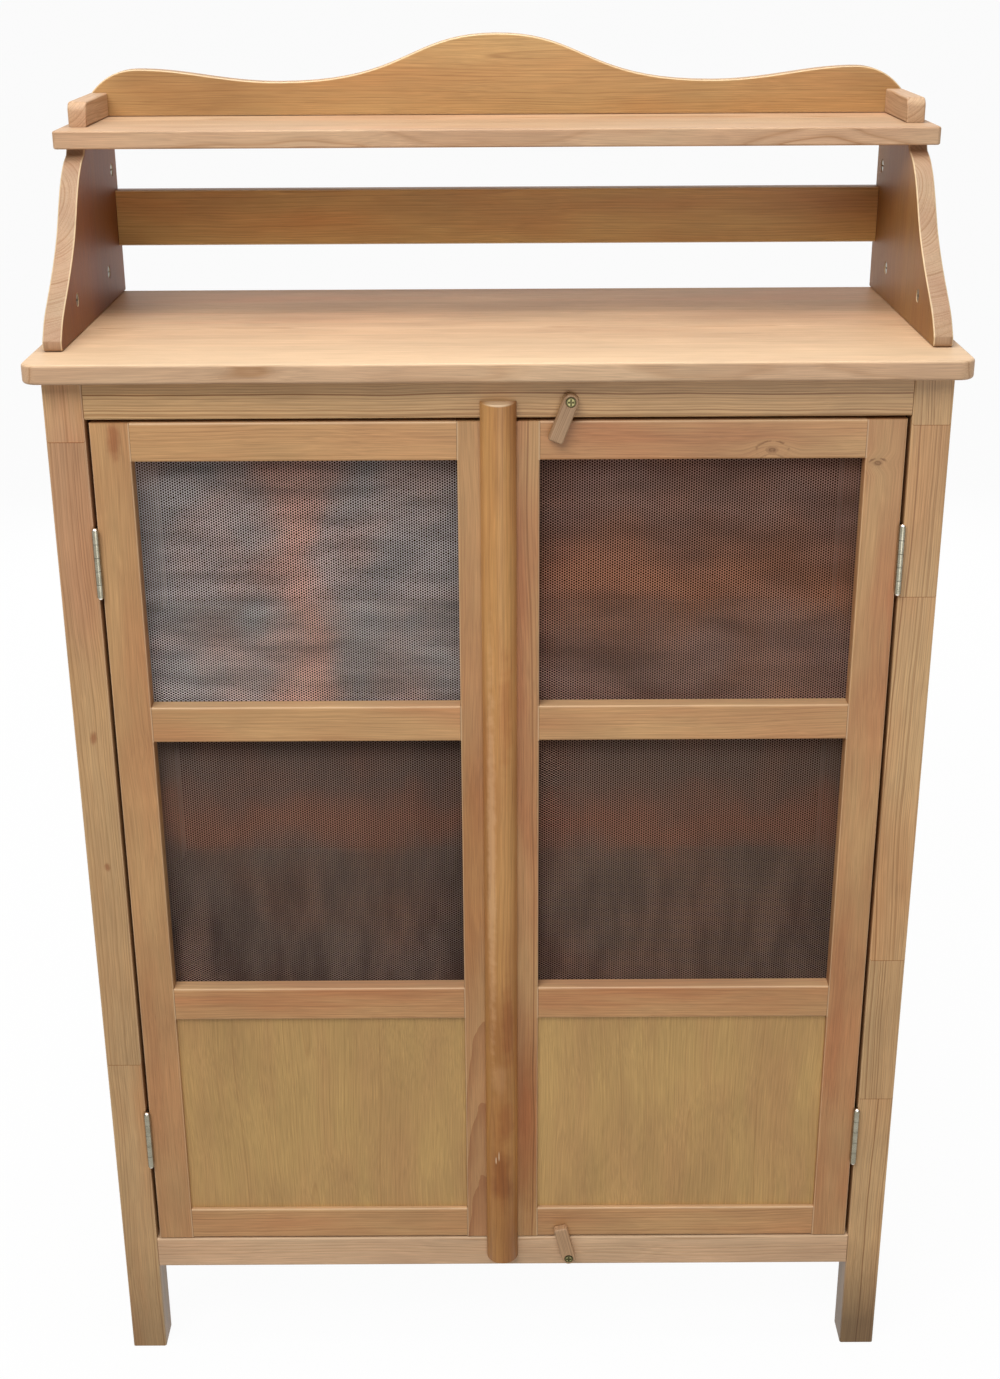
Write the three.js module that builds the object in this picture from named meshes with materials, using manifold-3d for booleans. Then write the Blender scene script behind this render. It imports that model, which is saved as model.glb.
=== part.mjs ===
// Jelly cupboard: a frame of square posts and rails, two framed doors with steel net over a thin
// wood panel, a plank top, and a scrolled hutch that carries one shelf and a shaped gallery board.
// Millimetres. +Z is up, the doors face -Y, and the origin is on the floor under the middle.

import * as THREE from 'three';
import { mergeVertices } from 'three/addons/utils/BufferGeometryUtils.js';
import Module from 'manifold-3d';

const wasm = await Module();
wasm.setup();

// Carcass
const bodyWidth = 860;
const bodyDepth = 362;
const legClearance = 114;
const openingHeight = 947;
const postWidth = 38;
const railHeight = 38;
const railThickness = 22;
const railTenonThickness = 8;
const railTenonLength = 20;
const sidePanelThickness = 6;
const sidePanelSetback = 6;
const panelGroove = 8;
const backPanelThickness = 5;
const backRebate = 10;
const floorThickness = 12;
const floorRebate = 5;
const innerShelfThickness = 15;
const innerShelfHousing = 6;
const innerShelfClearance = 6;

// Wood edges and fits
const arris = 2;
const arrisSegments = 2;
const fitGap = 0.3;
const tenonMargin = 1;
const cutOverrun = 1;

// Tabletop
const tableThickness = 19;
const tableSideOverhang = 15;
const tableFrontOverhang = 21;
const tableBackOverhang = 8;
const tableCorner = 16;
const tableEase = 3;
const cornerSegments = 5;
const easeSegments = 2;

// Hutch
const bracketThickness = 19;
const bracketHeight = 170;
const bracketInset = 11;
const bracketFootDepth = 333;
const bracketHeadDepth = 155;
const bracketToe = 4;
const hutchRailHeight = 59;
const hutchRailThickness = 19;
const hutchRailDrop = 59;
const shelfThickness = 18;
const shelfDepth = 175;
const shelfSideOverhang = 9;
const shelfCorner = 4;
const galleryThickness = 19;
const galleryEndHeight = 22;
const galleryBumpHeight = 48;
const galleryDipHeight = 34.5;
const galleryPeakHeight = 82.5;
const cheekThickness = 19;
const cheekHeight = 24.5;
const cheekLength = 116;
const cheekCorner = 9;
const boardEase = 2;
const bracketCurveSegments = 2;
const crestCurveSegments = 7;

// The bracket's front edge, from its toe to its head: shares of the run back and of the height
const bracketEdgeShares = [
  [0, 0.055], [0.035, 0.105], [0.095, 0.175], [0.2, 0.256], [0.325, 0.348], [0.445, 0.447],
  [0.545, 0.545], [0.622, 0.645], [0.695, 0.748], [0.78, 0.848], [0.88, 0.925], [0.975, 0.965],
];

// The gallery's crest: shares of half its width, at its bump, its dip and its curves' handles
const galleryBumpShare = 0.88;
const galleryDipShare = 0.53;
const galleryEndHandleShare = 0.977;
const galleryBumpHandleShare = 0.12;
const galleryDipHandleShare = 0.14;
const galleryRiseHandleShare = 0.217;

// Doors
const doorThickness = 20;
const doorSideGap = 3.5;
const doorTopGap = 3.2;
const doorBottomGap = 1.8;
const doorMeetingGap = 3;
const stileWidth = 38;
const doorRailHeight = 38;
const doorPanelHeight = 248;
const lowerNetHeight = 288;
const doorPanelThickness = 5;
const doorPanelSetback = 5;
const doorTenonThickness = 6;
const doorTenonLength = 16;
const netSetback = 16.5;
const netThickness = 0.8;
const netRebate = 8;
const netBar = 5;
const netColumns = 7;
const netGapSides = 6;

// Half-round moulding over the meeting of the doors
const mouldingWidth = 35;
const mouldingProud = 17.5;
const mouldingTopLap = 16.5;
const mouldingBottomLap = 23;
const mouldingSegments = 16;
const mouldingEase = 2;

// Butt hinges
const hingeHeight = 68.5;
const hingeFromTop = 139;
const hingeFromBottom = 134;
const barrelRadius = 3.25;
const barrelSegments = 14;
const pinRadius = 1.6;
const pinTipRadius = 2.4;
const pinTipRings = 5;
const pinClearance = 0.15;
const knuckleCount = 5;
const knuckleGap = 0.3;
const leafWidth = 20;
const leafGap = 0.5;
const leafSeat = 0.2;

// Turn buttons and their screws
const turnLength = 49;
const turnWidth = 15;
const turnThickness = 10;
const turnTipCorner = 2.5;
const turnEase = 1.5;
const turnSegments = 8;
const upperTurnAcross = 68.5;
const upperTurnRise = 17;
const upperTurnLean = THREE.MathUtils.degToRad(21);
const lowerTurnAcross = 75;
const lowerTurnDrop = 22.9;
const lowerTurnLean = THREE.MathUtils.degToRad(14);
const screwHeadRadius = 4.8;
const screwHeadDepth = 2.8;
const screwCrown = 0.6;
const screwShankRadius = 2;
const screwLength = 24;
const screwPoint = 5;
const screwSegments = 14;

// Places worked out from the sizes above
const tableDepth = tableFrontOverhang + bodyDepth + tableBackOverhang;
const frontY = tableFrontOverhang - tableDepth / 2;
const backY = frontY + bodyDepth;
const tableBackY = tableDepth / 2;
const halfBody = bodyWidth / 2;
const postInner = halfBody - postWidth;
const openingLow = legClearance + railHeight;
const openingHigh = openingLow + openingHeight;
const bodyTop = openingHigh + railHeight;
const tableTop = bodyTop + tableThickness;
const halfTable = halfBody + tableSideOverhang;
const bracketOuter = halfTable - bracketInset;
const bracketInner = bracketOuter - bracketThickness;
const shelfLow = tableTop + bracketHeight;
const shelfTop = shelfLow + shelfThickness;
const galleryFrontY = tableBackY - galleryThickness;

const doorLow = openingLow + doorBottomGap;
const doorHigh = openingHigh - doorTopGap;
const doorOuter = postInner - doorSideGap;
const doorInner = doorMeetingGap / 2;
const doorBackY = frontY + doorThickness;
const panelLow = doorLow + doorRailHeight;
const panelHigh = panelLow + doorPanelHeight;
const lowerNetLow = panelHigh + doorRailHeight;
const lowerNetHigh = lowerNetLow + lowerNetHeight;
const upperNetLow = lowerNetHigh + doorRailHeight;
const upperNetHigh = doorHigh - doorRailHeight;
const openingsOfDoor = [[panelLow, panelHigh], [lowerNetLow, lowerNetHigh], [upperNetLow, upperNetHigh]];
const hingeX = postInner - doorSideGap / 2;
const hingeY = frontY - fitGap - barrelRadius;
const hingeCentres = { upper: doorHigh - hingeFromTop, lower: doorLow + hingeFromBottom };
const innerShelfCentres = {
  upper: (lowerNetHigh + upperNetLow) / 2,
  lower: (panelHigh + lowerNetLow) / 2,
};
const upperTurnZ = openingHigh + upperTurnRise;
const lowerTurnZ = openingLow - lowerTurnDrop;
const turnBackY = frontY - fitGap;
const turnFrontY = turnBackY - turnThickness;

const sectionAxes = { x: ['y', 'z'], y: ['z', 'x'], z: ['x', 'y'] };
const directions = {
  x: new THREE.Vector3(1, 0, 0),
  y: new THREE.Vector3(0, 1, 0),
  z: new THREE.Vector3(0, 0, 1),
};

// A span on the left (-1) or right (+1) side, given as distances from the middle plane
function sided(side, near, far) {
  return side < 0 ? [-far, -near] : [near, far];
}

function grown(span, by) {
  return [span[0] - by, span[1] + by];
}

// A box between low and high values on each axis
function block({ x, y, z }) {
  const geometry = new THREE.BoxGeometry(x[1] - x[0], y[1] - y[0], z[1] - z[0]);
  geometry.translate((x[0] + x[1]) / 2, (y[0] + y[1]) / 2, (z[0] + z[1]) / 2);
  return geometry;
}

// A rectangle whose chosen corners are rounded. isSoft takes the signs of a corner's two directions.
function corneredShape(u, v, radius, segments, isSoft) {
  const points = [];
  const corners = [[-1, -1], [1, -1], [1, 1], [-1, 1]];
  corners.forEach(([signU, signV], turn) => {
    const cornerU = signU < 0 ? u[0] : u[1];
    const cornerV = signV < 0 ? v[0] : v[1];
    if (!isSoft(signU, signV)) {
      points.push(new THREE.Vector2(cornerU, cornerV));
      return;
    }
    for (let step = 0; step <= segments; step++) {
      const angle = Math.PI + (turn + step / segments) * Math.PI / 2;
      const centreU = cornerU - signU * radius;
      const centreV = cornerV - signV * radius;
      points.push(new THREE.Vector2(centreU + radius * Math.cos(angle), centreV + radius * Math.sin(angle)));
    }
  });
  return new THREE.Shape(points);
}

// A shape drawn on the section axes of a direction, run along it between two values, ends eased
function extruded(along, shape, span, ease = 0, curveSegments = 1) {
  const geometry = new THREE.ExtrudeGeometry(shape, {
    depth: span[1] - span[0] - 2 * ease,
    bevelEnabled: ease > 0,
    bevelThickness: ease,
    bevelSize: ease,
    bevelOffset: -ease,
    bevelSegments: easeSegments,
    curveSegments,
  });
  geometry.translate(0, 0, span[0] + ease);
  const [u, v] = sectionAxes[along];
  geometry.applyMatrix4(new THREE.Matrix4().makeBasis(directions[u], directions[v], directions[along]));
  return geometry;
}

// A planed stick with its chosen long edges rounded
function stick(along, spans, isSoft = () => true) {
  const [u, v] = sectionAxes[along];
  const shape = corneredShape(spans[u], spans[v], arris, arrisSegments, isSoft);
  return extruded(along, shape, spans[along]);
}

// A round bar along an axis, centred on the other two values
function roundBar(along, radius, at, span, segments, farRadius = radius) {
  const geometry = new THREE.CylinderGeometry(farRadius, radius, span[1] - span[0], segments);
  if (along === 'z') {
    geometry.rotateX(Math.PI / 2);
    geometry.translate(at.x, at.y, (span[0] + span[1]) / 2);
  } else {
    geometry.translate(at.x, (span[0] + span[1]) / 2, at.z);
  }
  return geometry;
}

function toSolid(geometry) {
  const bare = geometry.clone();
  bare.deleteAttribute('normal');
  bare.deleteAttribute('uv');
  const merged = mergeVertices(bare);
  return new wasm.Manifold(new wasm.Mesh({
    numProp: 3,
    vertProperties: merged.attributes.position.array,
    triVerts: Uint32Array.from(merged.index.array),
  }));
}

function toGeometry(solid) {
  const mesh = solid.getMesh();
  const geometry = new THREE.BufferGeometry();
  geometry.setAttribute('position', new THREE.BufferAttribute(mesh.vertProperties, 3));
  geometry.setIndex(new THREE.BufferAttribute(mesh.triVerts, 1));
  return geometry;
}

// One geometry with others joined to it and cutters taken out of it
function worked(geometry, { add = [], cut = [] }) {
  let solid = toSolid(geometry);
  for (const part of add) solid = solid.add(toSolid(part));
  for (const cutter of cut) solid = solid.subtract(toSolid(cutter));
  return toGeometry(solid);
}

const finishes = {
  fir: { color: '#bb935f', roughness: 0.5, metalness: 0 },
  plank: { color: '#cfa67c', roughness: 0.55, metalness: 0 },
  veneer: { color: '#ab8850', roughness: 0.5, metalness: 0 },
  netting: { color: '#8c8788', roughness: 0.4, metalness: 0.8 },
  hingeSteel: { color: '#a9a59a', roughness: 0.35, metalness: 1 },
  screwBrass: { color: '#8f8a4e', roughness: 0.35, metalness: 1 },
};

const cupboard = new THREE.Group();

function place(name, geometry, finish) {
  const material = new THREE.MeshStandardMaterial({ ...finishes[finish], flatShading: true });
  const mesh = new THREE.Mesh(geometry, material);
  mesh.name = name;
  cupboard.add(mesh);
}

const sides = { left: -1, right: 1 };
const sideRailX = [halfBody - railThickness, halfBody];
const sidePanelX = [halfBody - sidePanelSetback - sidePanelThickness, halfBody - sidePanelSetback];
const bottomRailZ = [legClearance, openingLow];
const topRailZ = [openingHigh, bodyTop - fitGap];
const frontRailY = [frontY, frontY + railThickness];
const backRailY = [backY - railThickness, backY];
const frontPostY = [frontY, frontY + postWidth];
const backPostY = [backY - postWidth, backY];
const tenonInset = panelGroove + tenonMargin;

// The middle part of a span, as thick as the tenon that is cut there
function middleOf(span, thickness) {
  const middle = (span[0] + span[1]) / 2;
  return [middle - thickness / 2, middle + thickness / 2];
}

function innerShelfZ(centre) {
  return middleOf([centre, centre], innerShelfThickness);
}

const innerShelfY = [doorBackY + innerShelfClearance, backY - backPanelThickness - 2 * fitGap];
const backPanelSeatY = [backY - backPanelThickness - fitGap, backY + cutOverrun];

// Mortises, grooves and housings in one post. The post's inner corner faces the cupboard's middle.
function postCutters(side, isFront) {
  const postY = isFront ? frontPostY : backPostY;
  const railY = isFront ? frontRailY : backRailY;
  const innerY = isFront ? postY[1] : postY[0];
  const inward = isFront ? -1 : 1;
  const intoPost = (depth) => {
    const ends = [innerY + inward * depth, innerY - inward * cutOverrun];
    return isFront ? ends : ends.reverse();
  };
  const cutters = [];
  for (const railZ of [bottomRailZ, topRailZ]) {
    const tenonZ = grown(railZ, fitGap - tenonInset);
    cutters.push(block({
      x: sided(side, postInner - cutOverrun, postInner + railTenonLength + fitGap),
      y: grown(middleOf(railY, railTenonThickness), fitGap),
      z: tenonZ,
    }));
    cutters.push(block({
      x: sided(side, ...grown(middleOf(sideRailX, railTenonThickness), fitGap)),
      y: intoPost(railTenonLength + fitGap),
      z: tenonZ,
    }));
  }
  cutters.push(block({
    x: sided(side, ...grown(sidePanelX, fitGap)),
    y: intoPost(panelGroove),
    z: [openingLow - panelGroove, openingHigh + panelGroove],
  }));
  const shelfHousingY = isFront
    ? [innerShelfY[0] - fitGap, postY[1] + cutOverrun]
    : [postY[0] - cutOverrun, innerShelfY[1] + fitGap];
  for (const centre of Object.values(innerShelfCentres)) {
    cutters.push(block({
      x: sided(side, postInner - cutOverrun, postInner + innerShelfHousing),
      y: shelfHousingY,
      z: grown(innerShelfZ(centre), fitGap),
    }));
  }
  if (!isFront) {
    cutters.push(block({
      x: sided(side, postInner - cutOverrun, postInner + backRebate),
      y: backPanelSeatY,
      z: [openingLow - backRebate, openingHigh + backRebate],
    }));
  }
  return cutters;
}

function makePosts() {
  for (const [sideName, side] of Object.entries(sides)) {
    for (const end of ['front', 'back']) {
      const isFront = end === 'front';
      const body = stick('z', {
        x: sided(side, postInner, halfBody),
        y: isFront ? frontPostY : backPostY,
        z: [0, bodyTop - fitGap],
      });
      place(`post_${end}_${sideName}`, worked(body, { cut: postCutters(side, isFront) }), 'fir');
    }
  }
}

const turnBoreRadius = screwShankRadius + fitGap;

function screwBore(across, height) {
  return roundBar('y', turnBoreRadius, { x: across, z: height },
    [turnFrontY - cutOverrun, turnFrontY + screwLength + fitGap], screwSegments);
}

// A rail across the front or back, with a tenon at each end
function crossRail(y, z, cut) {
  const x = [-postInner + fitGap, postInner - fitGap];
  const tenon = block({
    x: [-postInner - railTenonLength, postInner + railTenonLength],
    y: middleOf(y, railTenonThickness),
    z: grown(z, -tenonInset),
  });
  return worked(stick('x', { x, y, z }), { add: [tenon], cut });
}

function sideRail(side, z, cut) {
  const x = sided(side, ...sideRailX);
  const y = [frontPostY[1] + fitGap, backPostY[0] - fitGap];
  const tenon = block({
    x: middleOf(x, railTenonThickness),
    y: [frontPostY[1] - railTenonLength, backPostY[0] + railTenonLength],
    z: grown(z, -tenonInset),
  });
  return worked(stick('y', { x, y, z }), { add: [tenon], cut });
}

const floorInner = halfBody - railThickness;
const fullX = [-halfBody, halfBody];
const floorSeatZ = [openingLow - floorThickness - fitGap, openingLow + cutOverrun];

function makeRails() {
  const frontFloorSeat = block({
    x: fullX,
    y: [frontRailY[1] - floorRebate, frontRailY[1] + cutOverrun],
    z: floorSeatZ,
  });
  const backFloorSeat = block({
    x: fullX,
    y: [backRailY[0] - cutOverrun, backRailY[0] + floorRebate],
    z: floorSeatZ,
  });
  const backPanelSeat = (z) => block({ x: fullX, y: backPanelSeatY, z });
  place('rail_front_top', crossRail(frontRailY, topRailZ, [screwBore(upperTurnAcross, upperTurnZ)]), 'fir');
  place('rail_front_bottom', crossRail(frontRailY, bottomRailZ,
    [frontFloorSeat, screwBore(lowerTurnAcross, lowerTurnZ)]), 'fir');
  place('rail_back_top', crossRail(backRailY, topRailZ,
    [backPanelSeat([openingHigh - cutOverrun, openingHigh + backRebate])]), 'fir');
  place('rail_back_bottom', crossRail(backRailY, bottomRailZ,
    [backFloorSeat, backPanelSeat([openingLow - backRebate, openingLow + cutOverrun])]), 'fir');

  const depth = [frontY, backY];
  for (const [sideName, side] of Object.entries(sides)) {
    const grooveX = sided(side, ...grown(sidePanelX, fitGap));
    const floorSeat = block({
      x: sided(side, sideRailX[0] - cutOverrun, sideRailX[0] + floorRebate),
      y: depth,
      z: floorSeatZ,
    });
    const groove = (z) => block({ x: grooveX, y: depth, z });
    const grooveAbove = groove([openingHigh - cutOverrun, openingHigh + panelGroove]);
    const grooveBelow = groove([openingLow - panelGroove, openingLow + cutOverrun]);
    place(`rail_${sideName}_top`, sideRail(side, topRailZ, [grooveAbove]), 'fir');
    place(`rail_${sideName}_bottom`, sideRail(side, bottomRailZ, [floorSeat, grooveBelow]), 'fir');
  }
}

// The floor board drops into the bottom rails' rebates and is notched round the four posts
function floorShape() {
  const edgeX = floorInner + floorRebate - fitGap;
  const notchX = postInner - fitGap;
  const edgeY = [frontRailY[1] - floorRebate + fitGap, backRailY[0] + floorRebate - fitGap];
  const notchY = [frontPostY[1] + fitGap, backPostY[0] - fitGap];
  const outline = [
    [notchX, edgeY[0]], [notchX, notchY[0]], [edgeX, notchY[0]],
    [edgeX, notchY[1]], [notchX, notchY[1]], [notchX, edgeY[1]],
  ];
  const mirrored = outline.map(([x, y]) => [-x, y]).reverse();
  return new THREE.Shape([...outline, ...mirrored].map(([x, y]) => new THREE.Vector2(x, y)));
}

function makePanelsAndShelves() {
  const tongue = panelGroove - fitGap;
  for (const [sideName, side] of Object.entries(sides)) {
    place(`side_panel_${sideName}`, block({
      x: sided(side, ...sidePanelX),
      y: [frontPostY[1] - tongue, backPostY[0] + tongue],
      z: [openingLow - tongue, openingHigh + tongue],
    }), 'veneer');
  }
  const backEdge = backRebate - fitGap;
  place('back_panel', block({
    x: [-postInner - backEdge, postInner + backEdge],
    y: [backY - backPanelThickness, backY],
    z: [openingLow - backEdge, openingHigh + backEdge],
  }), 'veneer');
  place('cabinet_floor', extruded('z', floorShape(), [openingLow - floorThickness, openingLow]), 'veneer');
  const shelfHalf = postInner + innerShelfHousing - fitGap;
  for (const [level, centre] of Object.entries(innerShelfCentres)) {
    place(`inner_shelf_${level}`, block({
      x: [-shelfHalf, shelfHalf],
      y: innerShelfY,
      z: innerShelfZ(centre),
    }), 'veneer');
  }
}

function makeTabletop() {
  const shape = corneredShape([-halfTable, halfTable], [-tableBackY, tableBackY],
    tableCorner, cornerSegments, () => true);
  place('tabletop', extruded('z', shape, [bodyTop, tableTop], tableEase), 'plank');
}

// The bracket's side view, drawn on depth and height
function bracketShape() {
  const low = tableTop + fitGap;
  const toeY = tableBackY - bracketFootDepth;
  const run = bracketFootDepth - bracketHeadDepth;
  const height = shelfLow - low;
  const edge = bracketEdgeShares.map(([back, up]) => new THREE.Vector2(toeY + run * back, low + height * up));
  const shape = new THREE.Shape();
  shape.moveTo(tableBackY, shelfLow);
  shape.lineTo(tableBackY, low);
  shape.lineTo(toeY + bracketToe, low);
  shape.quadraticCurveTo(toeY, low, toeY, low + bracketToe);
  shape.lineTo(edge[0].x, edge[0].y);
  shape.splineThru(edge.slice(1));
  shape.lineTo(toeY + run, shelfLow);
  shape.closePath();
  return shape;
}

// The gallery board's front view, drawn on height and width
function galleryShape() {
  const low = shelfTop + fitGap;
  const half = bracketOuter;
  const bump = half * galleryBumpShare;
  const dip = half * galleryDipShare;
  const bumpZ = shelfTop + galleryBumpHeight;
  const dipZ = shelfTop + galleryDipHeight;
  const peakZ = shelfTop + galleryPeakHeight;
  const endZ = shelfTop + galleryEndHeight;
  const rise = half * galleryRiseHandleShare;
  const shape = new THREE.Shape();
  shape.moveTo(low, -half);
  shape.lineTo(low, half);
  shape.lineTo(endZ, half);
  shape.bezierCurveTo((endZ + bumpZ) / 2, half * galleryEndHandleShare, bumpZ,
    bump + half * galleryBumpHandleShare / 2, bumpZ, bump);
  shape.bezierCurveTo(bumpZ, bump - half * galleryBumpHandleShare, dipZ,
    dip + half * galleryDipHandleShare, dipZ, dip);
  shape.bezierCurveTo(dipZ, rise, peakZ, rise, peakZ, 0);
  shape.bezierCurveTo(peakZ, -rise, dipZ, -rise, dipZ, -dip);
  shape.bezierCurveTo(dipZ, -dip - half * galleryDipHandleShare, bumpZ,
    -bump + half * galleryBumpHandleShare, bumpZ, -bump);
  shape.bezierCurveTo(bumpZ, -bump - half * galleryBumpHandleShare / 2,
    (endZ + bumpZ) / 2, -half * galleryEndHandleShare, endZ, -half);
  shape.closePath();
  return shape;
}

function makeHutch() {
  for (const [sideName, side] of Object.entries(sides)) {
    place(`bracket_${sideName}`, extruded('x', bracketShape(), sided(side, bracketInner, bracketOuter),
      boardEase, bracketCurveSegments), 'fir');
    const cheekY = [galleryFrontY - cheekLength, galleryFrontY - fitGap];
    const cheek = corneredShape(cheekY, [shelfTop + fitGap, shelfTop + cheekHeight],
      cheekCorner, cornerSegments, (signY, signZ) => signY < 0 && signZ > 0);
    place(`gallery_cheek_${sideName}`, extruded('x', cheek,
      sided(side, bracketOuter - cheekThickness, bracketOuter), boardEase), 'fir');
  }
  const railTop = shelfLow - hutchRailDrop;
  place('hutch_back_rail', stick('x', {
    x: [-bracketInner + fitGap, bracketInner - fitGap],
    y: [tableBackY - hutchRailThickness, tableBackY],
    z: [railTop - hutchRailHeight, railTop],
  }), 'fir');
  const shelfHalf = bracketOuter + shelfSideOverhang;
  const shelf = corneredShape([-shelfHalf, shelfHalf], [tableBackY - shelfDepth, tableBackY],
    shelfCorner, arrisSegments, () => true);
  place('upper_shelf', extruded('z', shelf, [shelfLow + fitGap, shelfTop], boardEase), 'plank');
  place('gallery_board', extruded('y', galleryShape(), [galleryFrontY, tableBackY],
    boardEase, crestCurveSegments), 'fir');
}

// The part of a square edge that lies outside its rounding, run up a stile beside one opening
function arrisCutter(side, edge, z) {
  const towards = edge < (doorOuter + doorInner) / 2 ? 1 : -1;
  const away = -towards;
  const across = (distance) => side * (edge + distance);
  const points = [
    [across(towards * cutOverrun), frontY - cutOverrun],
    [across(towards * cutOverrun), frontY + arris],
  ];
  for (let step = 0; step <= arrisSegments; step++) {
    const angle = step / arrisSegments * Math.PI / 2;
    points.push([
      across(away * arris * (1 - Math.cos(angle))),
      frontY + arris * (1 - Math.sin(angle)),
    ]);
  }
  points.push([across(away * arris), frontY - cutOverrun]);
  return extruded('z', new THREE.Shape(points.map(([x, y]) => new THREE.Vector2(x, y))), z);
}

const doorPanelY = [frontY + doorPanelSetback, frontY + doorPanelSetback + doorPanelThickness];
const doorTenonY = middleOf(doorPanelY, doorTenonThickness);
const doorRailSpans = {
  bottom: [doorLow, panelLow],
  lower: [panelHigh, lowerNetLow],
  middle: [lowerNetHigh, upperNetLow],
  top: [upperNetHigh, doorHigh],
};
const panelGrooveY = grown(doorPanelY, fitGap);
const netSeatY = [frontY + netSetback, doorBackY + cutOverrun];

// A stile, cut for the rails' tenons, the panel's groove, the nets' rebates and the soft inner edge
function stile(side, isHinged) {
  const span = isHinged ? [doorOuter - stileWidth, doorOuter] : [doorInner, doorInner + stileWidth];
  const inner = isHinged ? span[0] : span[1];
  const depthOf = (distance) => (isHinged
    ? [inner - cutOverrun, inner + distance]
    : [inner - distance, inner + cutOverrun]);
  const outerSign = isHinged ? side : -side;
  const body = stick('z', { x: sided(side, ...span), y: [frontY, doorBackY], z: [doorLow, doorHigh] },
    (signX) => signX === outerSign);
  const cut = [];
  for (const railZ of Object.values(doorRailSpans)) {
    cut.push(block({
      x: sided(side, ...depthOf(doorTenonLength + fitGap)),
      y: grown(doorTenonY, fitGap),
      z: grown(railZ, fitGap - tenonInset),
    }));
  }
  cut.push(block({
    x: sided(side, ...depthOf(panelGroove)),
    y: panelGrooveY,
    z: grown([panelLow, panelHigh], panelGroove),
  }));
  for (const netZ of openingsOfDoor.slice(1)) {
    cut.push(block({ x: sided(side, ...depthOf(netRebate)), y: netSeatY, z: grown(netZ, netRebate) }));
  }
  for (const opening of openingsOfDoor) {
    cut.push(arrisCutter(side, inner, opening));
  }
  return worked(body, { cut });
}

// A door rail with a tenon at each end. Its cuts follow what lies above and below it.
function doorRail(side, name) {
  const z = doorRailSpans[name];
  const x = sided(side, doorInner + stileWidth + fitGap, doorOuter - stileWidth - fitGap);
  const body = stick('x', { x, y: [frontY, doorBackY], z }, (signY) => signY < 0);
  const tenon = block({ x: grown(x, doorTenonLength), y: doorTenonY, z: grown(z, -tenonInset) });
  const long = grown(x, cutOverrun);
  const cuts = {
    panelAbove: { x: long, y: panelGrooveY, z: [z[1] - panelGroove, z[1] + cutOverrun] },
    panelBelow: { x: long, y: panelGrooveY, z: [z[0] - cutOverrun, z[0] + panelGroove] },
    netAbove: { x: long, y: netSeatY, z: [z[1] - netRebate, z[1] + cutOverrun] },
    netBelow: { x: long, y: netSeatY, z: [z[0] - cutOverrun, z[0] + netRebate] },
  };
  const wanted = {
    bottom: ['panelAbove'],
    lower: ['panelBelow', 'netAbove'],
    middle: ['netBelow', 'netAbove'],
    top: ['netBelow'],
  };
  return worked(body, { add: [tenon], cut: wanted[name].map((key) => block(cuts[key])) });
}

// Flat netting: a thin sheet with rows of six-sided gaps, each row set half a pitch over
function net(side, opening) {
  const reach = netRebate - fitGap;
  const x = sided(side, doorInner + stileWidth - reach, doorOuter - stileWidth + reach);
  const z = grown(opening, reach);
  const pitch = (x[1] - x[0] - netBar) / (netColumns + 1 / 2);
  const gapRadius = (pitch - netBar) / Math.sqrt(3);
  const rowPitch = pitch * Math.sqrt(3) / 2;
  const rows = Math.floor((z[1] - z[0] - 2 * netBar - 2 * gapRadius) / rowPitch) + 1;
  const firstZ = (z[0] + z[1] - (rows - 1) * rowPitch) / 2;
  const shape = corneredShape(z, x, arris, 1, () => false);
  for (let row = 0; row < rows; row++) {
    for (let column = 0; column < netColumns; column++) {
      const centreX = x[0] + netBar + (pitch - netBar) / 2 + (column + (row % 2) / 2) * pitch;
      const centreZ = firstZ + row * rowPitch;
      const corners = [];
      for (let corner = 0; corner < netGapSides; corner++) {
        const angle = corner / netGapSides * 2 * Math.PI;
        const up = gapRadius * Math.cos(angle);
        const across = gapRadius * Math.sin(angle);
        corners.push(new THREE.Vector2(centreZ + up, centreX + across));
      }
      shape.holes.push(new THREE.Path(corners));
    }
  }
  const frontOfNet = frontY + netSetback + fitGap;
  return extruded('y', shape, [frontOfNet, frontOfNet + netThickness]);
}

function doorPanel(side) {
  const tongue = panelGroove - fitGap;
  return block({
    x: sided(side, doorInner + stileWidth - tongue, doorOuter - stileWidth + tongue),
    y: doorPanelY,
    z: grown([panelLow, panelHigh], tongue),
  });
}

function makeDoors() {
  for (const [sideName, side] of Object.entries(sides)) {
    place(`${sideName}_door_hinge_stile`, stile(side, true), 'fir');
    place(`${sideName}_door_meeting_stile`, stile(side, false), 'fir');
    for (const name of Object.keys(doorRailSpans)) {
      place(`${sideName}_door_rail_${name}`, doorRail(side, name), 'fir');
    }
    place(`${sideName}_door_net_upper`, net(side, [upperNetLow, upperNetHigh]), 'netting');
    place(`${sideName}_door_net_lower`, net(side, [lowerNetLow, lowerNetHigh]), 'netting');
    place(`${sideName}_door_panel`, doorPanel(side), 'veneer');
  }
}

function makeMoulding() {
  const flatY = frontY - fitGap;
  const points = [];
  for (let step = 0; step <= mouldingSegments; step++) {
    const angle = Math.PI * (1 + step / mouldingSegments);
    const across = mouldingWidth / 2 * Math.cos(angle);
    points.push(new THREE.Vector2(across, flatY + mouldingProud * Math.sin(angle)));
  }
  place('meeting_moulding', extruded('z', new THREE.Shape(points),
    [openingLow - mouldingBottomLap, openingHigh + mouldingTopLap], mouldingEase), 'fir');
}

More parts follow.
